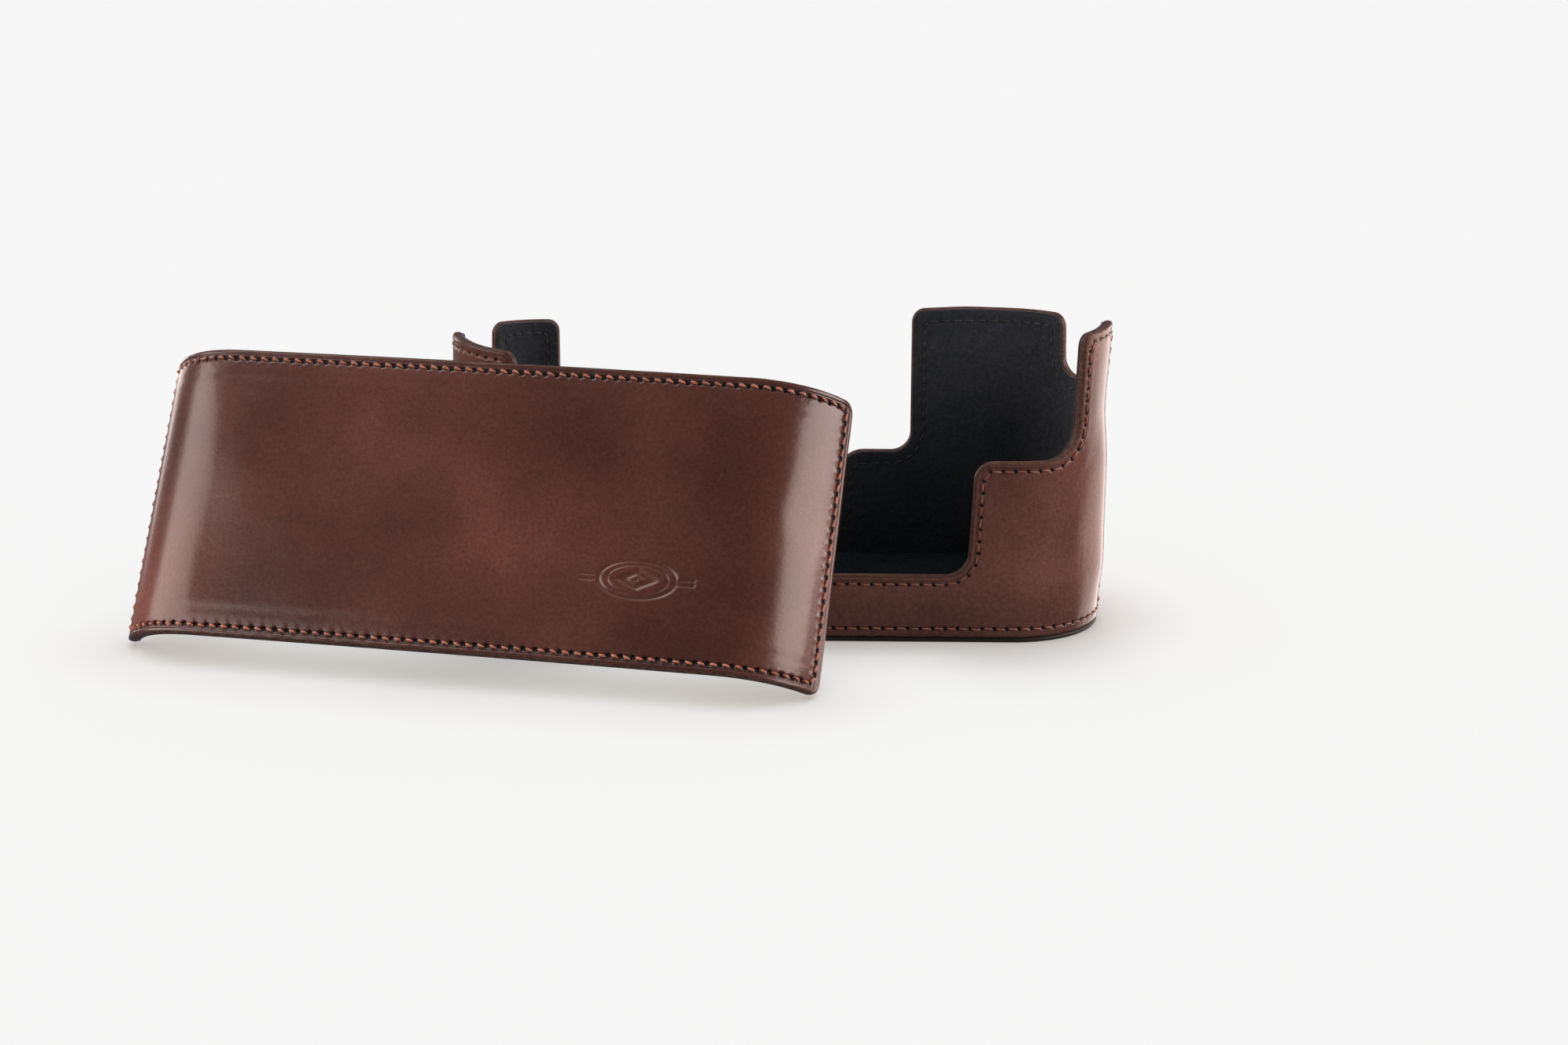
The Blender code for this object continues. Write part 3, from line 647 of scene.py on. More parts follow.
def lattice(low, high, cell, field_at, edge, seams=(), extra=None):
    """Points and faces inside an edge, finer near the seams' holes.

    A big cell next to small ones takes their corners as its own, so that
    no gap opens. Border points are moved onto the edge.
    """
    count_s = round((high[0] - low[0]) / cell)
    count_z = math.ceil((high[1] - low[1]) / cell)
    cell = (high[0] - low[0]) / count_s
    grid_s, grid_z = np.meshgrid(
        low[0] + cell * np.arange(count_s + 1), low[1] + cell * np.arange(count_z + 1)
    )
    field = field_at(grid_s, grid_z)
    keep = (field[:-1, :-1] + field[1:, :-1] + field[:-1, 1:] + field[1:, 1:]) / 4 > edge
    padded = np.zeros((count_z + 2, count_s + 2), bool)
    padded[1:-1, 1:-1] = keep
    whole = padded[:-1, :-1] & padded[1:, :-1] & padded[:-1, 1:] & padded[1:, 1:]
    used = padded[:-1, :-1] | padded[1:, :-1] | padded[:-1, 1:] | padded[1:, 1:]
    open_cells = whole[:-1, :-1] & whole[1:, :-1] & whole[:-1, 1:] & whole[1:, 1:]
    half = cell / 2
    leaves = leaf_cells(
        keep, open_cells, grid_s[:-1, :-1] + half, grid_z[:-1, :-1] + half, seams, extra
    )
    marked = np.zeros((count_z * FINEST + 1, count_s * FINEST + 1), bool)
    for cols, rows, size in leaves:
        for dj in (0, size):
            for di in (0, size):
                marked[rows + dj, cols + di] = True
    index = np.full(marked.shape, -1)
    index[marked] = np.arange(marked.sum())
    faces = []
    for cols, rows, size in leaves:
        loop = [(k, 0) for k in range(size)] + [(size, k) for k in range(size)]
        loop += [(size - k, size) for k in range(size)] + [(0, size - k) for k in range(size)]
        ring = np.stack([index[rows + dj, cols + di] for di, dj in loop], 1)
        plain = (ring >= 0).sum(1) == 4
        faces += ring[plain][:, ::size].tolist()
        for row in ring[~plain].tolist():
            faces.append([v for v in row if v >= 0])
    rows, cols = np.nonzero(marked)
    s = low[0] + cell * cols / FINEST
    z = low[1] + cell * rows / FINEST

    slope_z, slope_s = np.gradient(field, cell)
    steep = np.maximum(np.hypot(slope_s, slope_z), 0.3) ** 2
    gap = np.clip(field - edge, -cell, cell)
    near = used & ~whole & (np.abs(field - edge) < 0.95 * cell)
    shift_s = np.where(near, gap * slope_s / steep, 0.0)
    shift_z = np.where(near, gap * slope_z / steep, 0.0)
    corner = (rows % FINEST == 0) & (cols % FINEST == 0)
    at = (rows[corner] // FINEST, cols[corner] // FINEST)
    s[corner] -= shift_s[at]
    z[corner] -= shift_z[at]
    return s, z, faces


def sheet_piece(name, panel, sheet, lift, values, depth, material, flip=False):
    """A lattice, lifted outwards by its own heights, on a panel."""
    path, matrix = panel
    s, z, faces = sheet
    if flip:
        faces = [face[::-1] for face in faces]
    obj = to_mesh(name, wrapped(path, s, z, depth - lift), faces, material, matrix)
    for key, value in values.items():
        add_value(obj, key, value)
    return obj


def weld(obj, outward=False):
    """Joins points that meet, and turns the faces outwards if asked to."""
    bm = bmesh.new()
    bm.from_mesh(obj.data)
    bmesh.ops.remove_doubles(bm, verts=bm.verts[:], dist=WELD_GAP)
    if outward:
        bmesh.ops.recalc_face_normals(bm, faces=bm.faces)
    bm.to_mesh(obj.data)
    bm.free()


def band_piece(name, panel, line, closed, section, materials, rough=0.0, faced=0):
    """A strip along an outline; section lists (inset, depth) across it.

    The first columns, as many as faced says, take the first material and
    the others the last.
    """
    path, matrix = panel
    fine = spread(line, RIM_STEP, closed)
    normals = line_normals(fine, closed)
    if not closed:
        ends = line_normals(spread(line, 0.05, False), False)
        normals[0] = ends[0]
        normals[-1] = ends[-1]
    count = len(fine)
    columns = []
    for inset, depth in section:
        at = fine + normals * inset
        uneven = rough * value_noise(at[:, 0], at[:, 1] + depth * 3.0, 2.2, EDGE_SEED)
        columns.append(wrapped(path, at[:, 0], at[:, 1], depth + uneven))
    points = np.stack(columns, 1).reshape(-1, 3)
    wide = len(section)
    faces = []
    kinds = []
    last = count if closed else count - 1
    for i in range(last):
        j = (i + 1) % count
        for k in range(wide - 1):
            faces.append((i * wide + k, i * wide + k + 1, j * wide + k + 1, j * wide + k))
            kinds.append(0 if k < faced else len(materials) - 1)
    obj = to_mesh(name, points, faces, materials[0], matrix)
    for material in materials[1:]:
        obj.data.materials.append(material)
    obj.data.polygons.foreach_set("material_index", kinds)
    insets = np.array([inset for inset, _ in section])
    # The tooled crease line is marked as hole, which paints shade into it.
    groove = bell(insets - CREASE_INSET, 0.1) if faced else np.zeros(wide)
    polish = smooth(1.0, 0.2, insets) if faced else np.ones(wide)
    add_value(obj, "hole", np.tile(0.75 * groove, count))
    add_value(obj, "burnish", np.tile(polish, count))
    return obj


def rounded_section(thickness, radius, steps=5, bulge=0.06):
    """A cut edge over a rounding, across and round again."""
    section = []
    for step in range(steps + 1):
        a = math.pi / 2 * step / steps
        section.append((radius * (1 - math.sin(a)), radius * (1 - math.cos(a))))
    for share in (0.3, 0.5, 0.7):
        depth = radius + (thickness - 2 * radius) * share
        section.append((-bulge * math.sin(math.pi * share), depth))
    for step in range(steps + 1):
        a = math.pi / 2 * step / steps
        section.append((radius * (1 - math.cos(a)), thickness - radius * (1 - math.sin(a))))
    return section


def creased_section(thickness):
    """The leather from its tooled edge line over the cut edge."""
    line = [
        (CREASE_INSET + 0.22, 0.10),
        (CREASE_INSET + 0.06, CREASE_DEPTH),
        (CREASE_INSET - 0.06, CREASE_DEPTH),
        (CREASE_INSET - 0.18, 0.02),
        (CREASE_INSET - 0.34, -0.03),
        (EDGE_R + 0.12, 0.0),
    ]
    return line + rounded_section(thickness, EDGE_R)


FACED = 7


def ring_faces(rings, sides, base=0):
    """Faces that join rings of points, each ring as many as sides."""
    faces = []
    for k in range(rings - 1):
        for m in range(sides):
            n = (m + 1) % sides
            a = base + k * sides
            b = a + sides
            faces.append((a + m, a + n, b + n, b + m))
    return faces


def twisted_thread(points, normals, radii, twist, sides):
    """Rings of a two-ply thread along a short line in space."""
    run = np.gradient(points, axis=0)
    run /= np.linalg.norm(run, axis=1)[:, None]
    across = np.cross(run, normals)
    across /= np.linalg.norm(across, axis=1)[:, None]
    up = np.cross(across, run)
    rings = []
    count = len(points)
    for k in range(count):
        turn = twist * k / (count - 1)
        angles = np.linspace(0, 2 * math.pi, sides, endpoint=False)
        radius = radii[k] * (1 + 0.16 * np.cos(2 * (angles - turn)))
        ring = points[k] + across[k] * (radius * np.cos(angles))[:, None]
        rings.append(ring + up[k] * (radius * np.sin(angles))[:, None])
    return np.array(rings)


def stitch_piece(name, panel, seam, face, side, material, slant, seed, sunk_s=-1e9):
    """Every visible stitch of one seam as its own short two-ply thread.

    side is 1 on the outer face and -1 on the lining. Each thread comes up
    out of one hole, lies along the leather and dives into the next. Those
    below sunk_s are pulled down into the leather.
    """
    path, matrix = panel
    rng = np.random.default_rng(seed)
    steps = 14
    sides = 10
    radius = seam.thread_r
    t = np.linspace(0.0, 1.0, steps)
    start_at = 0.8 * seam.hole_r / np.linalg.norm(seam.pairs[0][1] - seam.pairs[0][0])
    rise = smooth(0.0, 0.2, t) * smooth(1.0, 0.78, t)
    girth = 0.6 + 0.56 * smooth(0.1, 0.3, t) - 0.62 * smooth(0.42, 1.0, t)
    all_points = []
    faces = []
    base = 0
    for start, end in seam.pairs:
        run = end - start
        pitch = np.linalg.norm(run)
        run = run / pitch
        across = np.array([run[1], -run[0]])
        lean = slant * (1 + 0.2 * rng.normal()) * -side
        line = start + run * (pitch * (start_at + (1 - 2 * start_at) * t))[:, None]
        sway = lean * (0.5 - t) + 0.05 * rng.normal() * np.sin(math.pi * t)
        line = line + across * sway[:, None]
        top = radius * (0.45 + 0.1 * rng.normal())
        if max(start[0], end[0]) < sunk_s:
            top -= 0.7 * radius
        lift = -0.42 + (0.42 + top) * rise
        x, y, nx, ny = path(line[:, 0], face - side * lift)
        points = np.stack([x, y, line[:, 1]], 1)
        normals = np.stack([nx, ny, np.zeros(steps)], 1) * side
        radii = radius * girth * (1 + 0.05 * rng.normal())
        rings = twisted_thread(points, normals, radii, 4.4 + rng.normal() * 0.4, sides)
        all_points.append(rings.reshape(-1, 3))
        faces += ring_faces(steps, sides, base)
        faces.append(tuple(base + m for m in range(sides))[::-1])
        faces.append(tuple(base + (steps - 1) * sides + m for m in range(sides)))
        base += steps * sides
    return to_mesh(name, np.vstack(all_points), faces, material, matrix)


# ---- materials


class Nodes:
    """A short way to write a node tree."""

    def __init__(self, name):
        self.material = bpy.data.materials.new(name)
        self.material.use_nodes = True
        self.tree = self.material.node_tree
        self.shader = self.tree.nodes["Principled BSDF"]
        self.place = self.add("ShaderNodeTexCoord").outputs["Object"]

    def add(self, kind, **settings):
        node = self.tree.nodes.new(kind)
        for key, value in settings.items():
            setattr(node, key, value)
        return node

    def link(self, source, target):
        self.tree.links.new(source, target)

    def fill(self, socket, value):
        """Sets a number or a colour, or links another node's output."""
        if isinstance(value, (int, float)):
            socket.default_value = value
        elif isinstance(value, tuple):
            socket.default_value = (*value, 1.0)
        else:
            self.link(value, socket)

    def noise(self, scale, detail=3.0, rough=0.55, stretch=None):
        place = self.place
        if stretch:
            mapping = self.add("ShaderNodeMapping")
            mapping.inputs["Scale"].default_value = stretch
            self.link(place, mapping.inputs["Vector"])
            place = mapping.outputs["Vector"]
        node = self.add("ShaderNodeTexNoise")
        node.inputs["Scale"].default_value = scale
        node.inputs["Detail"].default_value = detail
        node.inputs["Roughness"].default_value = rough
        self.link(place, node.inputs["Vector"])
        return node.outputs["Fac"]

    def cells(self, scale):
        node = self.add("ShaderNodeTexVoronoi")
        node.inputs["Scale"].default_value = scale
        self.link(self.place, node.inputs["Vector"])
        return node.outputs["Distance"]

    def nearness(self, reach):
        """1 in the open and falling to 0 right beside another object, by ambient occlusion; the
        floor paints its contact shadow with it.
        """
        node = self.add("ShaderNodeAmbientOcclusion")
        node.samples = 8
        node.inputs["Distance"].default_value = reach
        return node.outputs["AO"]

    def attribute(self, name):
        return self.add("ShaderNodeAttribute", attribute_name=name).outputs["Fac"]

    def ramp(self, value, stops):
        node = self.add("ShaderNodeValToRGB")
        ramp = node.color_ramp
        while len(ramp.elements) < len(stops):
            ramp.elements.new(0.5)
        for element, (position, colour) in zip(ramp.elements, stops):
            element.position = position
            element.color = (*colour, 1.0)
        self.link(value, node.inputs["Fac"])
        return node.outputs["Color"]

    def reach(self, value, low, high, to_low, to_high):
        node = self.add("ShaderNodeMapRange")
        limits = {"From Min": low, "From Max": high, "To Min": to_low, "To Max": to_high}
        for key, number in limits.items():
            node.inputs[key].default_value = number
        self.link(value, node.inputs["Value"])
        return node.outputs["Result"]

    def maths(self, operation, a, b):
        node = self.add("ShaderNodeMath", operation=operation)
        for socket, value in zip(node.inputs, (a, b)):
            self.fill(socket, value)
        return node.outputs["Value"]

    def mix(self, share, a, b, blend="MIX"):
        node = self.add("ShaderNodeMix", data_type="RGBA", blend_type=blend)
        for number, value in ((0, share), (6, a), (7, b)):
            self.fill(node.inputs[number], value)
        return node.outputs[2]

    def bump(self, height, distance, strength=1.0, before=None):
        node = self.add("ShaderNodeBump")
        node.inputs["Distance"].default_value = distance
        node.inputs["Strength"].default_value = strength
        self.link(height, node.inputs["Height"])
        if before is not None:
            self.link(before, node.inputs["Normal"])
        return node.outputs["Normal"]

    def set(self, **values):
        for key, value in values.items():
            self.fill(self.shader.inputs[key.replace("_", " ")], value)


# How far the leather's colour moves with its grain and its tone values; the tone values also carry
# painted shade and painted highlight.
GRAIN = 0.22
PAINTED_SHADE_AND_TONE_DARKEST = (0.72, 0.72, 0.72)
PAINTED_LIGHT_AND_TONE_PALEST = (2.5, 2.35, 2.2)


def leather_material(name, dark, middle, light, rough_low, rough_high, coat, shine):
    """Smooth glazed hide: clouded colour, pores, fine creases and polish, with painted shade and
    painted highlight from its tone values and painted shade in its needle holes and tooled crease
    lines.
    """
    n = Nodes(name)
    clouds = n.noise(26.0, 3.0, 0.5)
    flecks = n.noise(1300.0, 3.0, 0.6)
    colour = n.ramp(clouds, [(0.25, dark), (0.5, middle), (0.75, light)])
    grain = n.reach(flecks, 0.3, 0.7, 1.0 - GRAIN, 1.0 + GRAIN)
    colour = n.mix(1.0, colour, grain, "MULTIPLY")
    # The tone attribute: the leather's own tone together with painted shade and painted highlight.
    tone_and_painted_light = n.reach(n.attribute("tone"), -1.0, 3.0, 0.0, 1.0)
    darker = n.mix(1.0, colour, PAINTED_SHADE_AND_TONE_DARKEST, "MULTIPLY")
    paler = n.mix(1.0, colour, PAINTED_LIGHT_AND_TONE_PALEST, "MULTIPLY")
    colour = n.mix(tone_and_painted_light, darker, paler)
    burnish = n.maths("MULTIPLY", n.attribute("burnish"), 0.5)
    colour = n.mix(burnish, colour, tuple(0.55 * c for c in dark))
    # Painted shade: needle holes and the tooled crease line darkened almost to black.
    hole = n.attribute("hole")
    colour = n.mix(n.maths("MULTIPLY", hole, 0.95), colour, (0.004, 0.002, 0.002))
    rough = n.reach(n.noise(60.0, 4.0, 0.65), 0.2, 0.8, rough_low, rough_high)
    rough = n.maths("ADD", rough, n.maths("MULTIPLY", hole, 0.35))
    hills = n.bump(n.noise(700.0, 3.0, 0.6), 0.00012, 0.35)
    fibres = n.bump(n.noise(2600.0, 2.0, 0.5), 0.00003, 0.4, hills)
    n.set(Base_Color=colour, Roughness=rough, Normal=fibres)
    n.set(Coat_Weight=coat, Coat_Roughness=0.14, Specular_IOR_Level=shine)
    return n.material


def edge_material(name, dark, light):
    """A burnished, waxed cut edge: fine lengthwise fibre under polish."""
    n = Nodes(name)
    fibre = n.noise(700.0, 4.0, 0.65, stretch=(1.0, 1.0, 2.6))
    colour = n.ramp(fibre, [(0.34, dark), (0.66, light)])
    rough = n.reach(n.noise(300.0, 3.0), 0.3, 0.7, 0.34, 0.55)
    n.set(Base_Color=colour, Roughness=rough, Normal=n.bump(fibre, 0.00012, 0.6))
    n.set(Specular_IOR_Level=0.12)
    return n.material


def suede_material(name, dark, light, nap, shine):
    """Short black nap: soft, patchy and light at grazing angles."""
    n = Nodes(name)
    patches = n.noise(70.0, 5.0, 0.7)
    fluff = n.noise(1100.0, 4.0, 0.75)
    tone = n.maths("ADD", n.maths("MULTIPLY", patches, 0.35), n.maths("MULTIPLY", fluff, 0.65))
    colour = n.ramp(tone, [(0.40, dark), (0.60, light)])
    lint = n.reach(n.cells(330.0), 0.0, 0.03, 1.0, 0.0)
    colour = n.mix(n.maths("MULTIPLY", lint, 0.25), colour, (0.12, 0.11, 0.1))
    normal = n.bump(fluff, 0.00035, 0.7)
    normal = n.bump(patches, 0.0006, 0.4, normal)
    n.set(Base_Color=colour, Roughness=0.95, Normal=normal)
    n.set(Sheen_Weight=nap, Sheen_Roughness=0.45, Sheen_Tint=(0.75, 0.8, 0.9))
    n.set(Specular_IOR_Level=shine)
    return n.material


def thread_material(name, dark, light):
    """Waxed linen: fine fibre and patchy colour."""
    n = Nodes(name)
    fibre = n.noise(3800.0, 3.0, 0.6)
    shade = n.noise(140.0, 2.0)
    tone = n.maths("ADD", n.maths("MULTIPLY", fibre, 0.6), n.maths("MULTIPLY", shade, 0.4))
    colour = n.ramp(tone, [(0.36, dark), (0.62, light)])
    n.set(Base_Color=colour, Roughness=0.48, Normal=n.bump(fibre, 0.00008, 0.7))
    n.set(Sheen_Weight=0.25, Sheen_Roughness=0.4)
    return n.material


def board_material(name, dark, light):
    n = Nodes(name)
    fibre = n.noise(800.0, 5.0, 0.7)
    colour = n.ramp(fibre, [(0.36, dark), (0.64, light)])
    n.set(Base_Color=colour, Roughness=0.88, Normal=n.bump(fibre, 0.0002, 0.6))
    return n.material


def metal_material(name, colour, rough, brushed):
    n = Nodes(name)
    scratch = n.noise(900.0, 4.0, 0.6, stretch=brushed)
    tint = n.ramp(scratch, [(0.3, tuple(0.75 * c for c in colour)), (0.7, colour)])
    n.set(Base_Color=tint, Metallic=1.0)
    n.set(Roughness=n.reach(scratch, 0.3, 0.7, rough, rough + 0.16))
    n.set(Normal=n.bump(scratch, 0.00003, 0.4))
    return n.material


CASE_TONES = ((0.041, 0.0175, 0.0140), (0.076, 0.0325, 0.0258), (0.111, 0.0480, 0.0375))
COVER_TONES = ((0.029, 0.0095, 0.0074), (0.055, 0.0188, 0.0138), (0.083, 0.0302, 0.0222))
SOLE_TONES = ((0.010, 0.008, 0.008), (0.015, 0.012, 0.011), (0.024, 0.018, 0.016))
SUEDE_TONES = ((0.0105, 0.0138, 0.0170), (0.0245, 0.0275, 0.0315))
# Painted shade: the case floor's lining is the same suede made darker.
SHADED_FLOOR_SUEDE_TONES = ((0.0050, 0.0078, 0.0096), (0.0105, 0.0145, 0.0170))
CASE_LEATHER = leather_material("case_leather", *CASE_TONES, 0.17, 0.24, 0.10, 0.15)
COVER_LEATHER = leather_material("cover_leather", *COVER_TONES, 0.22, 0.30, 0.15, 0.27)
CASE_EDGE = edge_material("case_edge", (0.027, 0.0125, 0.0095), (0.078, 0.040, 0.030))
SUEDE = suede_material("suede", *SUEDE_TONES, 0.16, 0.2)
# Painted shade: a darker copy of the suede without its sheen, for the case floor.
SHADED_FLOOR_SUEDE = suede_material("floor_suede", *SHADED_FLOOR_SUEDE_TONES, 0.0, 0.0)
THREAD = thread_material("thread", (0.15, 0.036, 0.018), (0.46, 0.15, 0.085))
CASE_THREAD = thread_material("thread_half_case", (0.095, 0.024, 0.014), (0.29, 0.088, 0.050))
LINING_THREAD = thread_material("thread_lining_side", (0.004, 0.003, 0.003), (0.030, 0.014, 0.010))
SOLE = leather_material("sole", *SOLE_TONES, 0.5, 0.65, 0.0, 0.2)
BOARD = board_material("board", (0.10, 0.08, 0.06), (0.22, 0.18, 0.14))
STEEL = metal_material("steel", (0.5, 0.5, 0.52), 0.25, (1.0, 1.0, 8.0))
BRASS = metal_material("brass", (0.62, 0.44, 0.2), 0.3, (1.0, 1.0, 8.0))
NICKEL = metal_material("nickel", (0.62, 0.6, 0.57), 0.2, (1.0, 1.0, 10.0))


# ---- half-case


def to_crease(height, field):
    """Heights that end in the tooled line along a leather edge."""
    top = CREASE_INSET + CREASE_RUN
    height = height * smooth(CREASE_INSET, top, field)
    return height - CREASE_DEPTH * smooth(top, CREASE_INSET, field)


def level_line(z, to_right):
    line = np.array([[-HALF_ROUND, z], [HALF_ROUND, z]])
    return line if to_right else line[::-1].copy()


def case_seam(inset, thread_r):
    line = offset(case_rim(), inset, False)
    return Seam(line, CASE_PITCH, False, CASE_HOLE_R, thread_r)


def case_wall_height(s, z, field):
    """Waves, dents and swells of the wall, before its seams."""
    height = 0.10 * value_noise(s, z, WAVE, 11, WAVES)
    height += 0.035 * value_noise(s, z, WAVE / 3, 12, WAVES * 3)
    height *= smooth(2.0, 9.0, field) * smooth(3.0, 10.0, z)
    height += spot(s, z, CASE_DENT)
    ends = smooth(*END_SWELL_S, np.abs(s)) * smooth(*END_SWELL_FAR_S, np.abs(s))
    ends = END_SWELL * ends * smooth(*END_SWELL_FOOT_Z, z) * smooth(*END_SWELL_TOP_Z, z)
    height += ends * smooth(3.0, 10.0, field)
    height += 0.05 * bell(field - 1.0, 0.6) - 0.05 * bell(field - RIM_SEAM_INSET, 0.5)
    for start, end in CASE_CREASES:
        along = smooth(start, start + 2.5, s) * smooth(end, end - 2.5, s)
        height -= 0.14 * bell(field - CASE_CREASE_INSET, 0.4) * along
    height -= 0.05 * bell(z - SOLE_SEAM_Z, 0.5)
    return height + 0.10 * smooth(4.2, 6.4, z) * smooth(3.0, 6.0, field)


def build_case_wall():
    rim_seam = case_seam(RIM_SEAM_INSET, CASE_THREAD_R)
    sole_line = level_line(SOLE_SEAM_Z, True)
    sole_seam = Seam(sole_line, CASE_PITCH, False, CASE_HOLE_R, CASE_THREAD_R, -1.0)
    foot_z = WALL_FOOT_Z + EDGE_R
    low = (-HALF_ROUND, foot_z)
    high = (HALF_ROUND, WALL_TOP_Z + 1.0)
    sheet = lattice(low, high, LEATHER_CELL, case_field, CREASE_INSET, (rim_seam, sole_seam))
    s, z, _ = sheet
    field = case_field(s, z)
    height = case_wall_height(s, z, field)
    hole = np.zeros(s.shape)
    rim_seam.press(s, z, height, hole, 0.6)
    sole_seam.press(s, z, height, hole, 0.6)
    height = to_crease(height * smooth(foot_z, foot_z + 0.5, z), field)
    # Painted shade: the wall darker towards its foot, where the cover and the floor shade it, and
    # darker just before its right end's highlight.
    tone = spot(s, z, CASE_PAINTED_SHADE) - 0.8 * smooth(17.0, 6.0, z)
    values = {"hole": hole, "burnish": smooth(1.7, 0.3, field), "tone": tone}
    wall = sheet_piece("leather_wall", CASE, sheet, height, values, 0.0, CASE_LEATHER)
    weld(wall)
    section = creased_section(CASE_LEATHER_T)
    materials = (CASE_LEATHER, CASE_EDGE)
    rim = band_piece("leather_wall_rim", CASE, case_rim(), False, section, materials, 0.04, FACED)
    foot_line = level_line(WALL_FOOT_Z, False)
    foot_section = rounded_section(FOOT_T, EDGE_R)
    foot = band_piece("leather_wall_foot", CASE, foot_line, False, foot_section, (CASE_EDGE,))
    for piece in (wall, rim, foot):
        open_wings(piece)
        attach(piece, "half_case")
    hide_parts("case_wall_leather")

    stitches = stitch_piece("rim_stitches", CASE, rim_seam, 0.0, 1, CASE_THREAD, 0.16, 5)
    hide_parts("case_rim_thread")
    sole_stitches = stitch_piece("sole_stitches", CASE, sole_seam, 0.0, 1, CASE_THREAD, 0.16, 6)
    end_seam = Seam(np.array(THREAD_END), THREAD_END_PITCH, False, 0.2, THREAD_END_R)
    thread_end = stitch_piece("thread_end", CASE, end_seam, 0.0, 1, CASE_THREAD, 0.5, 9)
    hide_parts("case_sole_thread")
    for piece in (stitches, sole_stitches, thread_end):
        open_wings(piece)
        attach(piece, "half_case")


def suede_section(leather_t, full_t):
    """The lining's own cut edge, from the leather up to its face."""
    return [
        (LINING_SET_BACK, leather_t - 0.05),
        (LINING_SET_BACK, full_t - LINING_EDGE_R),
        (LINING_SET_BACK + 0.06, full_t - 0.05),
        (LINING_EDGE, full_t),
    ]


def lining_sheet(low, high, field_at, seam, waves):
    """A suede lattice with its heights and holes, from (amount, size, seed, period)."""
    sheet = lattice(low, high, LINING_CELL, field_at, LINING_EDGE)
    s, z, _ = sheet
    height = sum(amount * value_noise(s, z, *wave) for amount, *wave in waves)
    hole = np.zeros(s.shape)
    seam.press(s, z, height, hole, 0.6)
    height *= smooth(LINING_EDGE, LINING_EDGE + 0.5, field_at(s, z))
    return sheet, height, {"hole": hole}


def build_case_lining():
    seam = case_seam(RIM_SEAM_INSET + 0.8, LINING_THREAD_R)
    low = (-HALF_ROUND, FLOOR_Z - 0.6)
    high = (HALF_ROUND, WALL_TOP_Z + 1.0)
    waves = ((0.06, WAVE / 4, 31, WAVES * 4), (0.04, WAVE / 16, 32, WAVES * 16))
    sheet, height, values = lining_sheet(low, high, case_field, seam, waves)
    lining = sheet_piece("suede_wall", CASE, sheet, -height, values, CASE_LINING_T, SUEDE, True)
    weld(lining)
    section = suede_section(CASE_LEATHER_T, CASE_LINING_T)
    rim = band_piece("suede_wall_rim", CASE, case_rim(), False, section, (SUEDE,), 0.04)
    for piece in (lining, rim):
        open_wings(piece)
        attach(piece, "half_case")
    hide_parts("case_wall_lining")
    name = "rim_stitches_inside"
    stitches = stitch_piece(name, CASE, seam, CASE_LINING_T, -1, LINING_THREAD, 0.1, 7)
    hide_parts("case_rim_thread_inner")
    open_wings(stitches)
    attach(stitches, "half_case")


def base_field(inset, hole_r):
    """Distance in from a stadium's edge and a round hole's edge."""

    def field_at(x, y):
        along = np.clip(x, -FLAT_HALF, FLAT_HALF)
        edge = END_R - inset - np.hypot(x - along, y)
        gap = np.hypot(x - SCREW_X, y) - hole_r
        return np.minimum(edge, gap)

    return field_at


def level_piece(name, inset, hole_r, level, shape, material, facing_down=False):
    """A level sheet under or over the base, lifted by shape(x, y, field)."""
    reach_x = FLAT_HALF + END_R
    field_at = base_field(inset, hole_r)
    x, y, faces = lattice((-reach_x, -END_R), (reach_x, END_R), LEVEL_CELL, field_at, 0.0)
    field = field_at(x, y)
    points = np.stack([x, y, level + shape(x, y, field)], 1)
    if facing_down:
        faces = [face[::-1] for face in faces]
    obj = to_mesh(name, points, faces, material)
    add_value(obj, "hole", np.zeros(len(points)))
    add_value(obj, "burnish", smooth(1.5, 0.2, field))
    return obj


def turned(radius, angle, z):
    """A point round the screw's axis."""
    return (SCREW_X + radius * math.cos(angle), radius * math.sin(angle), z)


def lathe_piece(name, profile, sides, material):
    """A turned shape from a list of (radius, z), about the screw's axis."""
    angles = np.linspace(0, 2 * math.pi, sides, endpoint=False)
    points = [turned(radius, a, z) for radius, z in profile for a in angles]
    return to_mesh(name, np.array(points), ring_faces(len(profile), sides), material)


def floor_shape(x, y, field):
    height = 0.05 * value_noise(x, y, 5.0, 41) + 0.03 * value_noise(x, y, 1.4, 42)
    return height - 0.55 * (1 - smooth(0.0, 0.7, field))


def sole_shape(x, y, field):
    pocket = np.hypot(x - SCREW_X, y) - HEAD_POCKET_R
    return 0.015 * value_noise(x, y, 3.0, 43) + 0.02 + 0.4 * (1 - smooth(0.0, 0.5, pocket))


def build_base():
    # The floor lining takes the darker suede, painted shade at the bottom of the case.
    floor = level_piece(
        "suede_floor", FLOOR_INSET, FLOOR_HOLE_R, FLOOR_Z, floor_shape, SHADED_FLOOR_SUEDE
    )
    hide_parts("case_floor_lining")
    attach(floor, "half_case")

    sole = level_piece("sole_face", SOLE_INSET, HEAD_POCKET_R, 0.0, sole_shape, SOLE, True)
    side = band_piece("sole_side", CASE, level_line(0.02, False), False, SOLE_SECTION, (SOLE,))
    bore_r = HEAD_POCKET_R + 0.02
    bore_profile = [(HEAD_POCKET_R, 0.42), (bore_r, 0.6), (bore_r, SOLE_T)]
    bore_profile.append((HEAD_POCKET_R + 0.5, SOLE_T + 0.05))
    bore = lathe_piece("sole_bore", bore_profile, 64, SOLE)
    for piece in (sole, side, bore):
        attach(piece, "half_case")
    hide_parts("case_sole")


# ---- screw


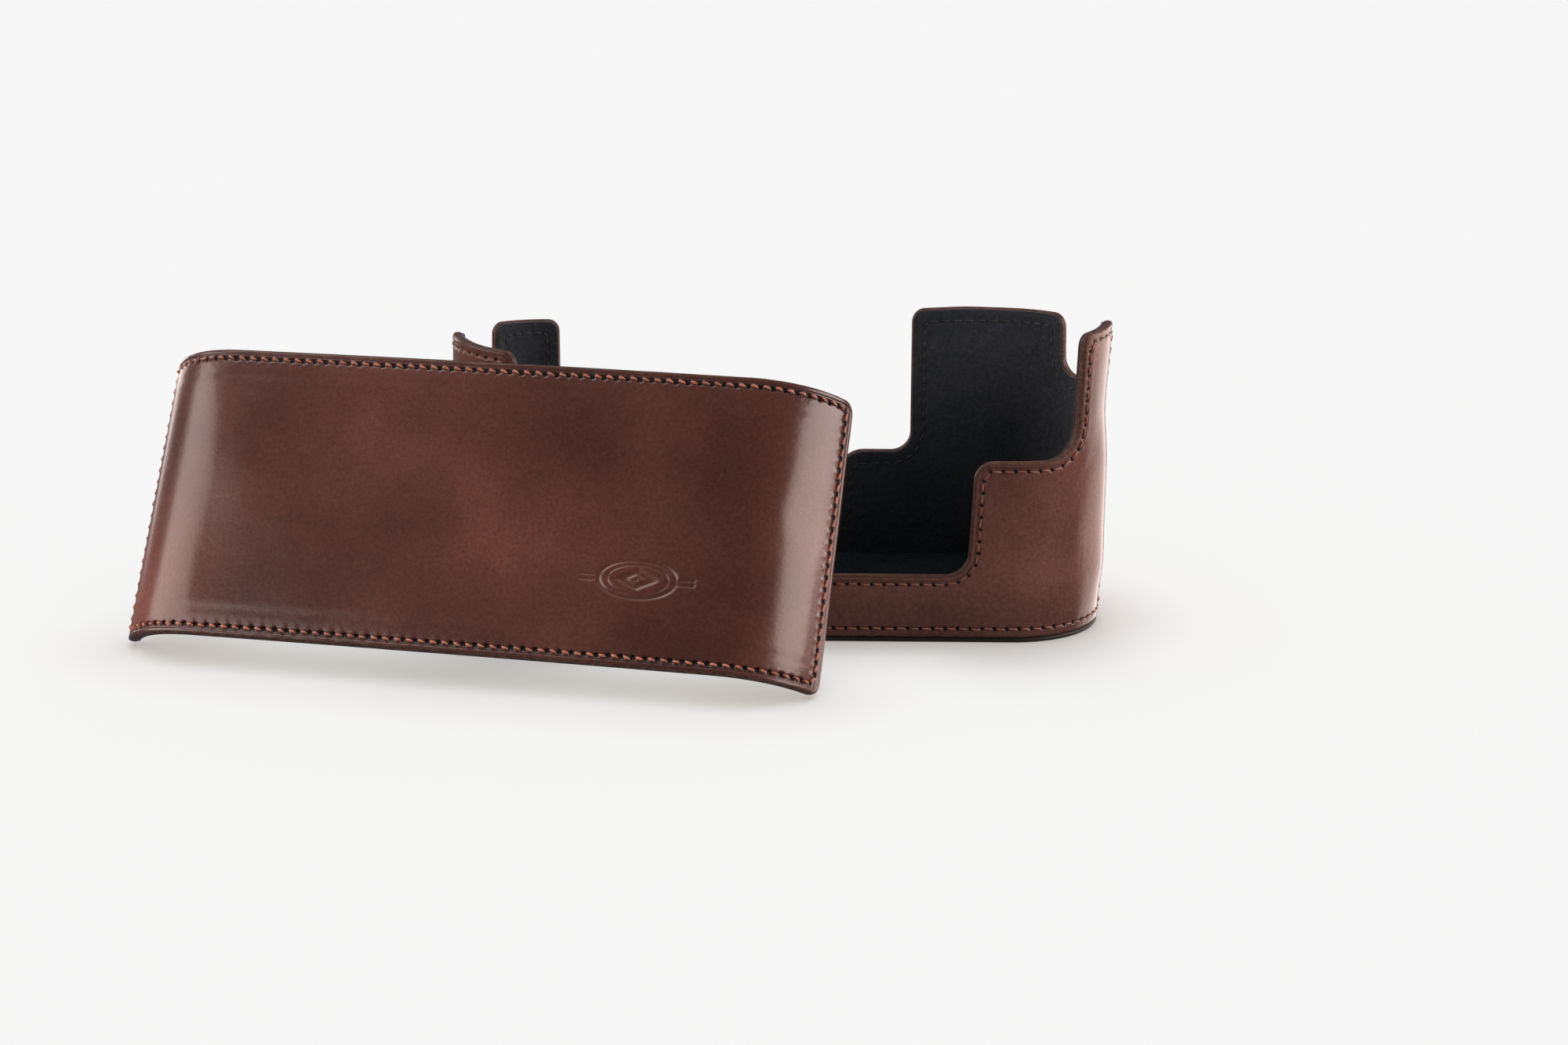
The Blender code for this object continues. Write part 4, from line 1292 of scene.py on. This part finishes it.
def cut_slot(screw, bottom):
    """Cuts the coin slot across the screw's head."""
    weld(screw, outward=True)
    bm = bmesh.new()
    bmesh.ops.create_cube(bm, size=1.0)
    middle = Vector((SCREW_X, 0.0, bottom + SLOT_BOX_Z))
    for vert in bm.verts:
        vert.co = (middle + vert.co * Vector(SLOT_BOX)) * MM
    box = bpy.data.meshes.new("slot_cutter")
    bm.to_mesh(box)
    bm.free()
    cutter = bpy.data.objects.new("slot_cutter", box)
    bpy.context.scene.collection.objects.link(cutter)
    modifier = screw.modifiers.new("slot", "BOOLEAN")
    modifier.operation = "DIFFERENCE"
    modifier.solver = "EXACT"
    modifier.object = cutter
    bpy.context.view_layer.update()
    graph = bpy.context.evaluated_depsgraph_get()
    mesh = bpy.data.meshes.new_from_object(screw.evaluated_get(graph))
    screw.modifiers.clear()
    screw.data = mesh
    bpy.data.objects.remove(cutter)
    mesh.polygons.foreach_set("use_smooth", [False] * len(mesh.polygons))


def screw_knurl(head_r, low, high):
    """Fine ridges round the head, each with closed ends."""
    ridges = []
    faces = []
    half = math.pi / FLUTES * 0.95
    inner = head_r - 0.42
    for k in range(FLUTES):
        a = 2 * math.pi * k / FLUTES
        for angle, radius in ((a - half, inner), (a, head_r - 0.02), (a + half, inner)):
            ridges += [turned(radius, angle, low), turned(radius, angle, high)]
        b = k * 6
        faces += [(b, b + 2, b + 3, b + 1), (b + 2, b + 4, b + 5, b + 3)]
        faces += [(b, b + 4, b + 2), (b + 1, b + 3, b + 5)]
    return to_mesh("screw_knurl", np.array(ridges), faces, NICKEL, smooth_faces=False)


def screw_thread(tip):
    """A helical thread that fades in and out at its ends."""
    steps = int((tip - 0.75 - SCREW_START_Z) / SCREW_PITCH * SCREW_STEPS)
    root = CORE_R - 0.1
    rings = []
    faces = []
    for k in range(steps + 1):
        a = 2 * math.pi * k / SCREW_STEPS
        z = SCREW_START_Z + SCREW_PITCH * k / SCREW_STEPS
        crest = min(1.0, k / SCREW_FADE, (steps - k) / SCREW_FADE)
        crest = CORE_R + (CREST_R - CORE_R) * crest
        for radius, rise in ((root, -0.5), (crest, -0.08), (crest, 0.08), (root, 0.5)):
            rings.append(turned(radius, a, z + rise))
    for k in range(0, 4 * steps, 4):
        faces += [(a, a + 4, a + 5, a + 1) for a in range(k, k + 3)]
    return to_mesh("screw_thread", np.array(rings), faces, NICKEL)


def build_screw():
    """Knurled coin-slot head, plain shank, clip groove, helical thread."""
    low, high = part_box("retaining_screw")
    bottom = low.z / MM
    tip = high.z / MM
    head_r = (high.x - low.x) / MM / 2
    head_top = bottom + HEAD_H
    groove_low, groove_high = GROOVE_Z
    profile = [
        (0.01, bottom),
        (head_r - 1.2, bottom),
        (head_r - 0.55, bottom + 0.08),
        (head_r - 0.35, bottom + 0.35),
        (head_r - 0.35, head_top - 0.45),
        (head_r - 0.7, head_top - 0.05),
        (head_r - 1.2, head_top),
        (SHANK_R + 0.3, head_top),
        (SHANK_R, head_top + 0.25),
        (SHANK_R, groove_low - 0.1),
        (CORE_R, groove_low),
        (CORE_R, groove_high),
        (CORE_R, tip - 0.7),
        (CORE_R - 0.5, tip - 0.05),
        (CORE_R - 0.8, tip),
        (0.01, tip),
    ]
    screw = lathe_piece("screw_body", profile, 72, NICKEL)
    cut_slot(screw, bottom)
    knurl = screw_knurl(head_r, bottom + 0.45, head_top - 0.55)
    thread = screw_thread(tip)
    for piece in (screw, knurl, thread):
        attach(piece, "retaining_screw")
    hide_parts("retaining_screw")


# ---- cover


def ornament(grid_s, grid_z):
    """A small plain stamp: a ringed lozenge between two short rules."""
    s = grid_s - ORNAMENT_S
    z = grid_z - ORNAMENT_Z
    ring = np.hypot(s / 2.05, z)
    outer = bell(ring - 4.0, 0.26)
    inner = 0.7 * bell(ring - 3.15, 0.2)
    lozenge = np.abs(s) / 4.4 + np.abs(z) / 2.1 - 1.0
    stamp = np.maximum(outer, inner)
    stamp = np.maximum(stamp, smooth(0.22, -0.08, lozenge) * smooth(-0.62, -0.42, lozenge))
    stamp = np.maximum(stamp, 0.9 * smooth(-0.78, -0.9, lozenge))
    for rise in (-0.55, 0.55):
        rule = np.maximum(np.abs(np.abs(s) - 10.6) - 1.7, np.abs(z - rise) - 0.14)
        stamp = np.maximum(stamp, 0.85 * smooth(0.28, 0.0, rule))
    return np.clip(stamp, 0.0, 1.0)


def cover_seam(thread_r):
    line = cover_outline(COVER_END_SEAM_INSET, COVER_SEAM_INSET, 1.4)
    return Seam(line, COVER_PITCH, True, COVER_HOLE_R, thread_r)


def near_ornament(s, z):
    return (np.abs(s - ORNAMENT_S) < 13.0) & (np.abs(z - ORNAMENT_Z) < 5.5)


def build_cover():
    seam = cover_seam(COVER_THREAD_R)
    low = (-COVER_HALF - 0.5, -0.5)
    high = (COVER_HALF + 0.5, COVER_H + 0.5)
    sheet = lattice(low, high, LEATHER_CELL, cover_field, CREASE_INSET, (seam,), near_ornament)
    s, z, _ = sheet
    field = cover_field(s, z)
    height = 0.13 * value_noise(s, z, 34.0, 51) + 0.05 * value_noise(s, z, 13.0, 52)
    height *= smooth(3.0, 12.0, field)
    height += 0.08 * smooth(2.6, 4.8, field) + 0.10 * smooth(5.0, 7.5, field)
    height += spot(s, z, COVER_DENT) + 0.04 * bell(field - 1.0, 0.6)
    height += spot(s, z, COVER_SWELL) * smooth(3.0, 12.0, field) - 0.3 * ornament(s, z)
    hole = np.zeros(s.shape)
    seam.press(s, z, height, hole, 1.0)
    height = to_crease(height, field)
    # Tone spots, one of them a painted highlight.
    tone = sum(spot(s, z, cloud) for cloud in COVER_TONE_AND_PAINTED_LIGHT)
    values = {"hole": hole, "burnish": smooth(1.9, 0.3, field), "tone": tone}
    shell = sheet_piece("leather_cover", COVER, sheet, height, values, 0.0, COVER_LEATHER)
    outline = cover_outline(0.0, 0.0, COVER_CORNER_R)
    section = creased_section(COVER_LEATHER_T)
    materials = (COVER_LEATHER, CASE_EDGE)
    rim = band_piece("leather_cover_rim", COVER, outline, True, section, materials, 0.04, FACED)
    sunk_s = COVER_END_SEAM_INSET + 0.4 - COVER_HALF
    stitches = stitch_piece("cover_stitches", COVER, seam, 0.0, 1, THREAD, 0.42, 8, sunk_s)
    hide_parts("cover_leather")
    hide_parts("cover_thread")

    inner_seam = cover_seam(LINING_THREAD_R)
    waves = ((0.06, 6.0, 61), (0.04, 1.5, 62))
    sheet, height, values = lining_sheet(low, high, cover_field, inner_seam, waves)
    lining = sheet_piece("suede_cover", COVER, sheet, -height, values, COVER_T, SUEDE, True)
    section = suede_section(COVER_LEATHER_T, COVER_T)
    lining_rim = band_piece("suede_cover_rim", COVER, outline, True, section, (SUEDE,), 0.04)
    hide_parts("cover_lining")
    name = "cover_stitches_inside"
    inner = stitch_piece(name, COVER, inner_seam, COVER_T, -1, LINING_THREAD, 0.1, 9)
    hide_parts("cover_thread_inner")
    for piece, slot in (
        (shell, "cover_leather"),
        (rim, "cover_leather"),
        (stitches, "thread"),
        (lining, "suede"),
        (lining_rim, "suede"),
        (inner, "thread"),
    ):
        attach(piece, "front_cover")


def finish_cad_nodes():
    """The pieces that keep their CAD shape get their own finish."""
    looks = {
        "case_base_core": BOARD,
        "cover_stiffener": BOARD,
        "screw_bush": BRASS,
        "screw_clip": STEEL,
        "case_magnet_left": NICKEL,
        "case_magnet_right": NICKEL,
        "cover_magnet_left": NICKEL,
        "cover_magnet_right": NICKEL,
    }
    for name, material in looks.items():
        mesh = frame["nodes"][name].data
        mesh.materials.clear()
        mesh.materials.append(material)


# ---- stage

# The photograph's camera, found by matching the case's outlines.
CAMERA_PLACE = (0.01092, -0.60178, 0.19096)
CAMERA_YAW = math.radians(-0.93)
CAMERA_PITCH = math.radians(15.75)
CAMERA_ROLL = math.radians(0.18)
CAMERA_LENS = 64.36


def build_camera():
    level = math.cos(CAMERA_PITCH)
    x = math.sin(CAMERA_YAW)
    y = math.cos(CAMERA_YAW)
    forward = Vector((x * level, y * level, -math.sin(CAMERA_PITCH)))
    right = Vector((y, -x, 0.0))
    up = right.cross(forward)
    c = math.cos(CAMERA_ROLL)
    d = math.sin(CAMERA_ROLL)
    matrix = Matrix((right * c + up * d, up * c - right * d, -forward)).transposed().to_4x4()
    matrix.translation = Vector(CAMERA_PLACE)
    data = bpy.data.cameras.new("camera")
    data.lens = CAMERA_LENS
    data.sensor_width = 36.0
    camera = bpy.data.objects.new("camera", data)
    bpy.context.scene.collection.objects.link(camera)
    camera.matrix_world = matrix
    bpy.context.scene.camera = camera


# Softboxes: name, aim, azimuth, elevation, distance, width, height, power.
SOFTBOX_COLOUR = (1.0, 0.85, 0.80)
SOFTBOXES = (
    ("right_box", (0.02, -0.04, 0.03), 83, 22, 0.85, 0.92, 0.50, 13.3),
    ("rim_box", (0.06, -0.01, 0.03), 129, -10, 0.6, 0.62, 0.40, 2.4),
    ("left_box", (-0.06, -0.06, 0.03), -75, 20, 0.85, 0.94, 0.46, 8.0),
    ("left_high", (-0.06, -0.06, 0.03), -100, 58, 0.85, 0.5, 0.4, 3.0),
    ("left_rim", (-0.06, -0.06, 0.03), -146, 8, 0.85, 0.42, 0.40, 1.6),
)

# Overhead lights: name, power, spread, lean back and sideways, colour.
WHITE = (1.0, 1.0, 1.0)
TABLE_LIGHTS = (
    ("table_light", 0.70, 165.0, -4.0, 0.0, WHITE),
    ("table_key", 0.55, 30.0, -30.0, 6.0, WHITE),
)
CEILING = ("ceiling", 0.9, 80.0, -16.0, 6.0, (1.0, 0.97, 0.95))

# The table: its own colour and glow in the open, and a painted contact shadow in both right beside
# the case.
TABLE_HALF = 6.0
TABLE_TONES = ((0.80, 0.795, 0.79), (0.81, 0.805, 0.80))
TABLE_PAINTED_SHADOW = (0.42, 0.36, 0.30)
TABLE_GLOW = (1.0, 0.99, 0.975)
TABLE_GLOW_PAINTED_SHADOW = (0.47, 0.385, 0.31)
TABLE_GLOW_STRENGTH = 0.51
TABLE_PAINTED_SHADOW_REACH = 0.023
WORLD_COLOUR = (0.93, 1.0, 1.06, 1.0)
WORLD_STRENGTH = 0.16


def around(centre, azimuth, elevation, distance):
    """A place round a point: azimuth 0 is in front and 90 to the right."""
    a = math.radians(azimuth)
    e = math.radians(elevation)
    way = Vector((math.sin(a) * math.cos(e), -math.cos(a) * math.cos(e), math.sin(e)))
    return Vector(centre) + way * distance


def group(name, members):
    found = bpy.data.collections.new(name)
    bpy.context.scene.collection.children.link(found)
    for obj in members:
        found.objects.link(obj)
    return found


def new_lamp(name, kind, power, colour, receivers):
    data = bpy.data.lights.new(name, kind)
    data.energy = power
    data.color = colour
    lamp = bpy.data.objects.new(name, data)
    bpy.context.scene.collection.objects.link(lamp)
    lamp.light_linking.receiver_collection = receivers
    return lamp


def overhead(name, power, spread_deg, back_deg, side_deg, colour, receivers):
    """A wide soft light from above, leaning a little back and sideways."""
    lamp = new_lamp(name, "SUN", power, colour, receivers)
    lamp.data.angle = math.radians(spread_deg)
    lamp.rotation_euler = (math.radians(back_deg), math.radians(side_deg), 0.0)
    return lamp


def softbox(name, aim, azimuth, elevation, distance, width, height, power, receivers):
    lamp = new_lamp(name, "AREA", power, SOFTBOX_COLOUR, receivers)
    lamp.data.shape = "RECTANGLE"
    lamp.data.size = width
    lamp.data.size_y = height
    lamp.location = around(aim, azimuth, elevation, distance)
    lamp.rotation_euler = (Vector(aim) - lamp.location).to_track_quat("-Z", "Y").to_euler()


def build_table():
    n = Nodes("floor")
    shade = n.ramp(n.noise(6.0, 2.0), list(zip((0.3, 0.7), TABLE_TONES)))
    # Painted shadow: the floor's colour and glow turn darker and warmer right beside the case, by
    # ambient occlusion.
    near = n.nearness(TABLE_PAINTED_SHADOW_REACH)
    n.set(Base_Color=n.mix(near, TABLE_PAINTED_SHADOW, shade), Roughness=0.9, Specular_IOR_Level=0.0)
    n.set(Emission_Color=n.mix(near, TABLE_GLOW_PAINTED_SHADOW, TABLE_GLOW))
    n.set(Emission_Strength=TABLE_GLOW_STRENGTH)
    mesh = bpy.data.meshes.new("floor")
    corners = [(x * TABLE_HALF, y * TABLE_HALF, 0) for x, y in ((-1, -1), (1, -1), (1, 1), (-1, 1))]
    mesh.from_pydata(corners, [], [(0, 1, 2, 3)])
    mesh.materials.append(n.material)
    floor = bpy.data.objects.new("floor", mesh)
    bpy.context.scene.collection.objects.link(floor)
    floor.visible_glossy = False
    floor.visible_shadow = False
    return floor


def build_stage():
    """The table and the case each have lights of their own."""
    floor = build_table()
    world = bpy.data.worlds.new("studio")
    bpy.context.scene.world = world
    world.use_nodes = True
    background = world.node_tree.nodes["Background"]
    background.inputs["Color"].default_value = WORLD_COLOUR
    background.inputs["Strength"].default_value = WORLD_STRENGTH

    pieces = [o for o in bpy.context.scene.objects if o.type == "MESH" and o is not floor]
    goods = group("goods", pieces)
    casting = group("casting", [o for o in pieces if "cover" not in o.name])
    table = group("table", [floor])
    for row in TABLE_LIGHTS:
        overhead(*row, table).light_linking.blocker_collection = casting
    overhead(*CEILING, goods)
    for row in SOFTBOXES:
        softbox(*row, goods)


build_case_wall()
build_case_lining()
build_base()
build_screw()
build_cover()
finish_cad_nodes()
build_camera()
build_stage()

bpy.context.scene.view_settings.view_transform = "Standard"
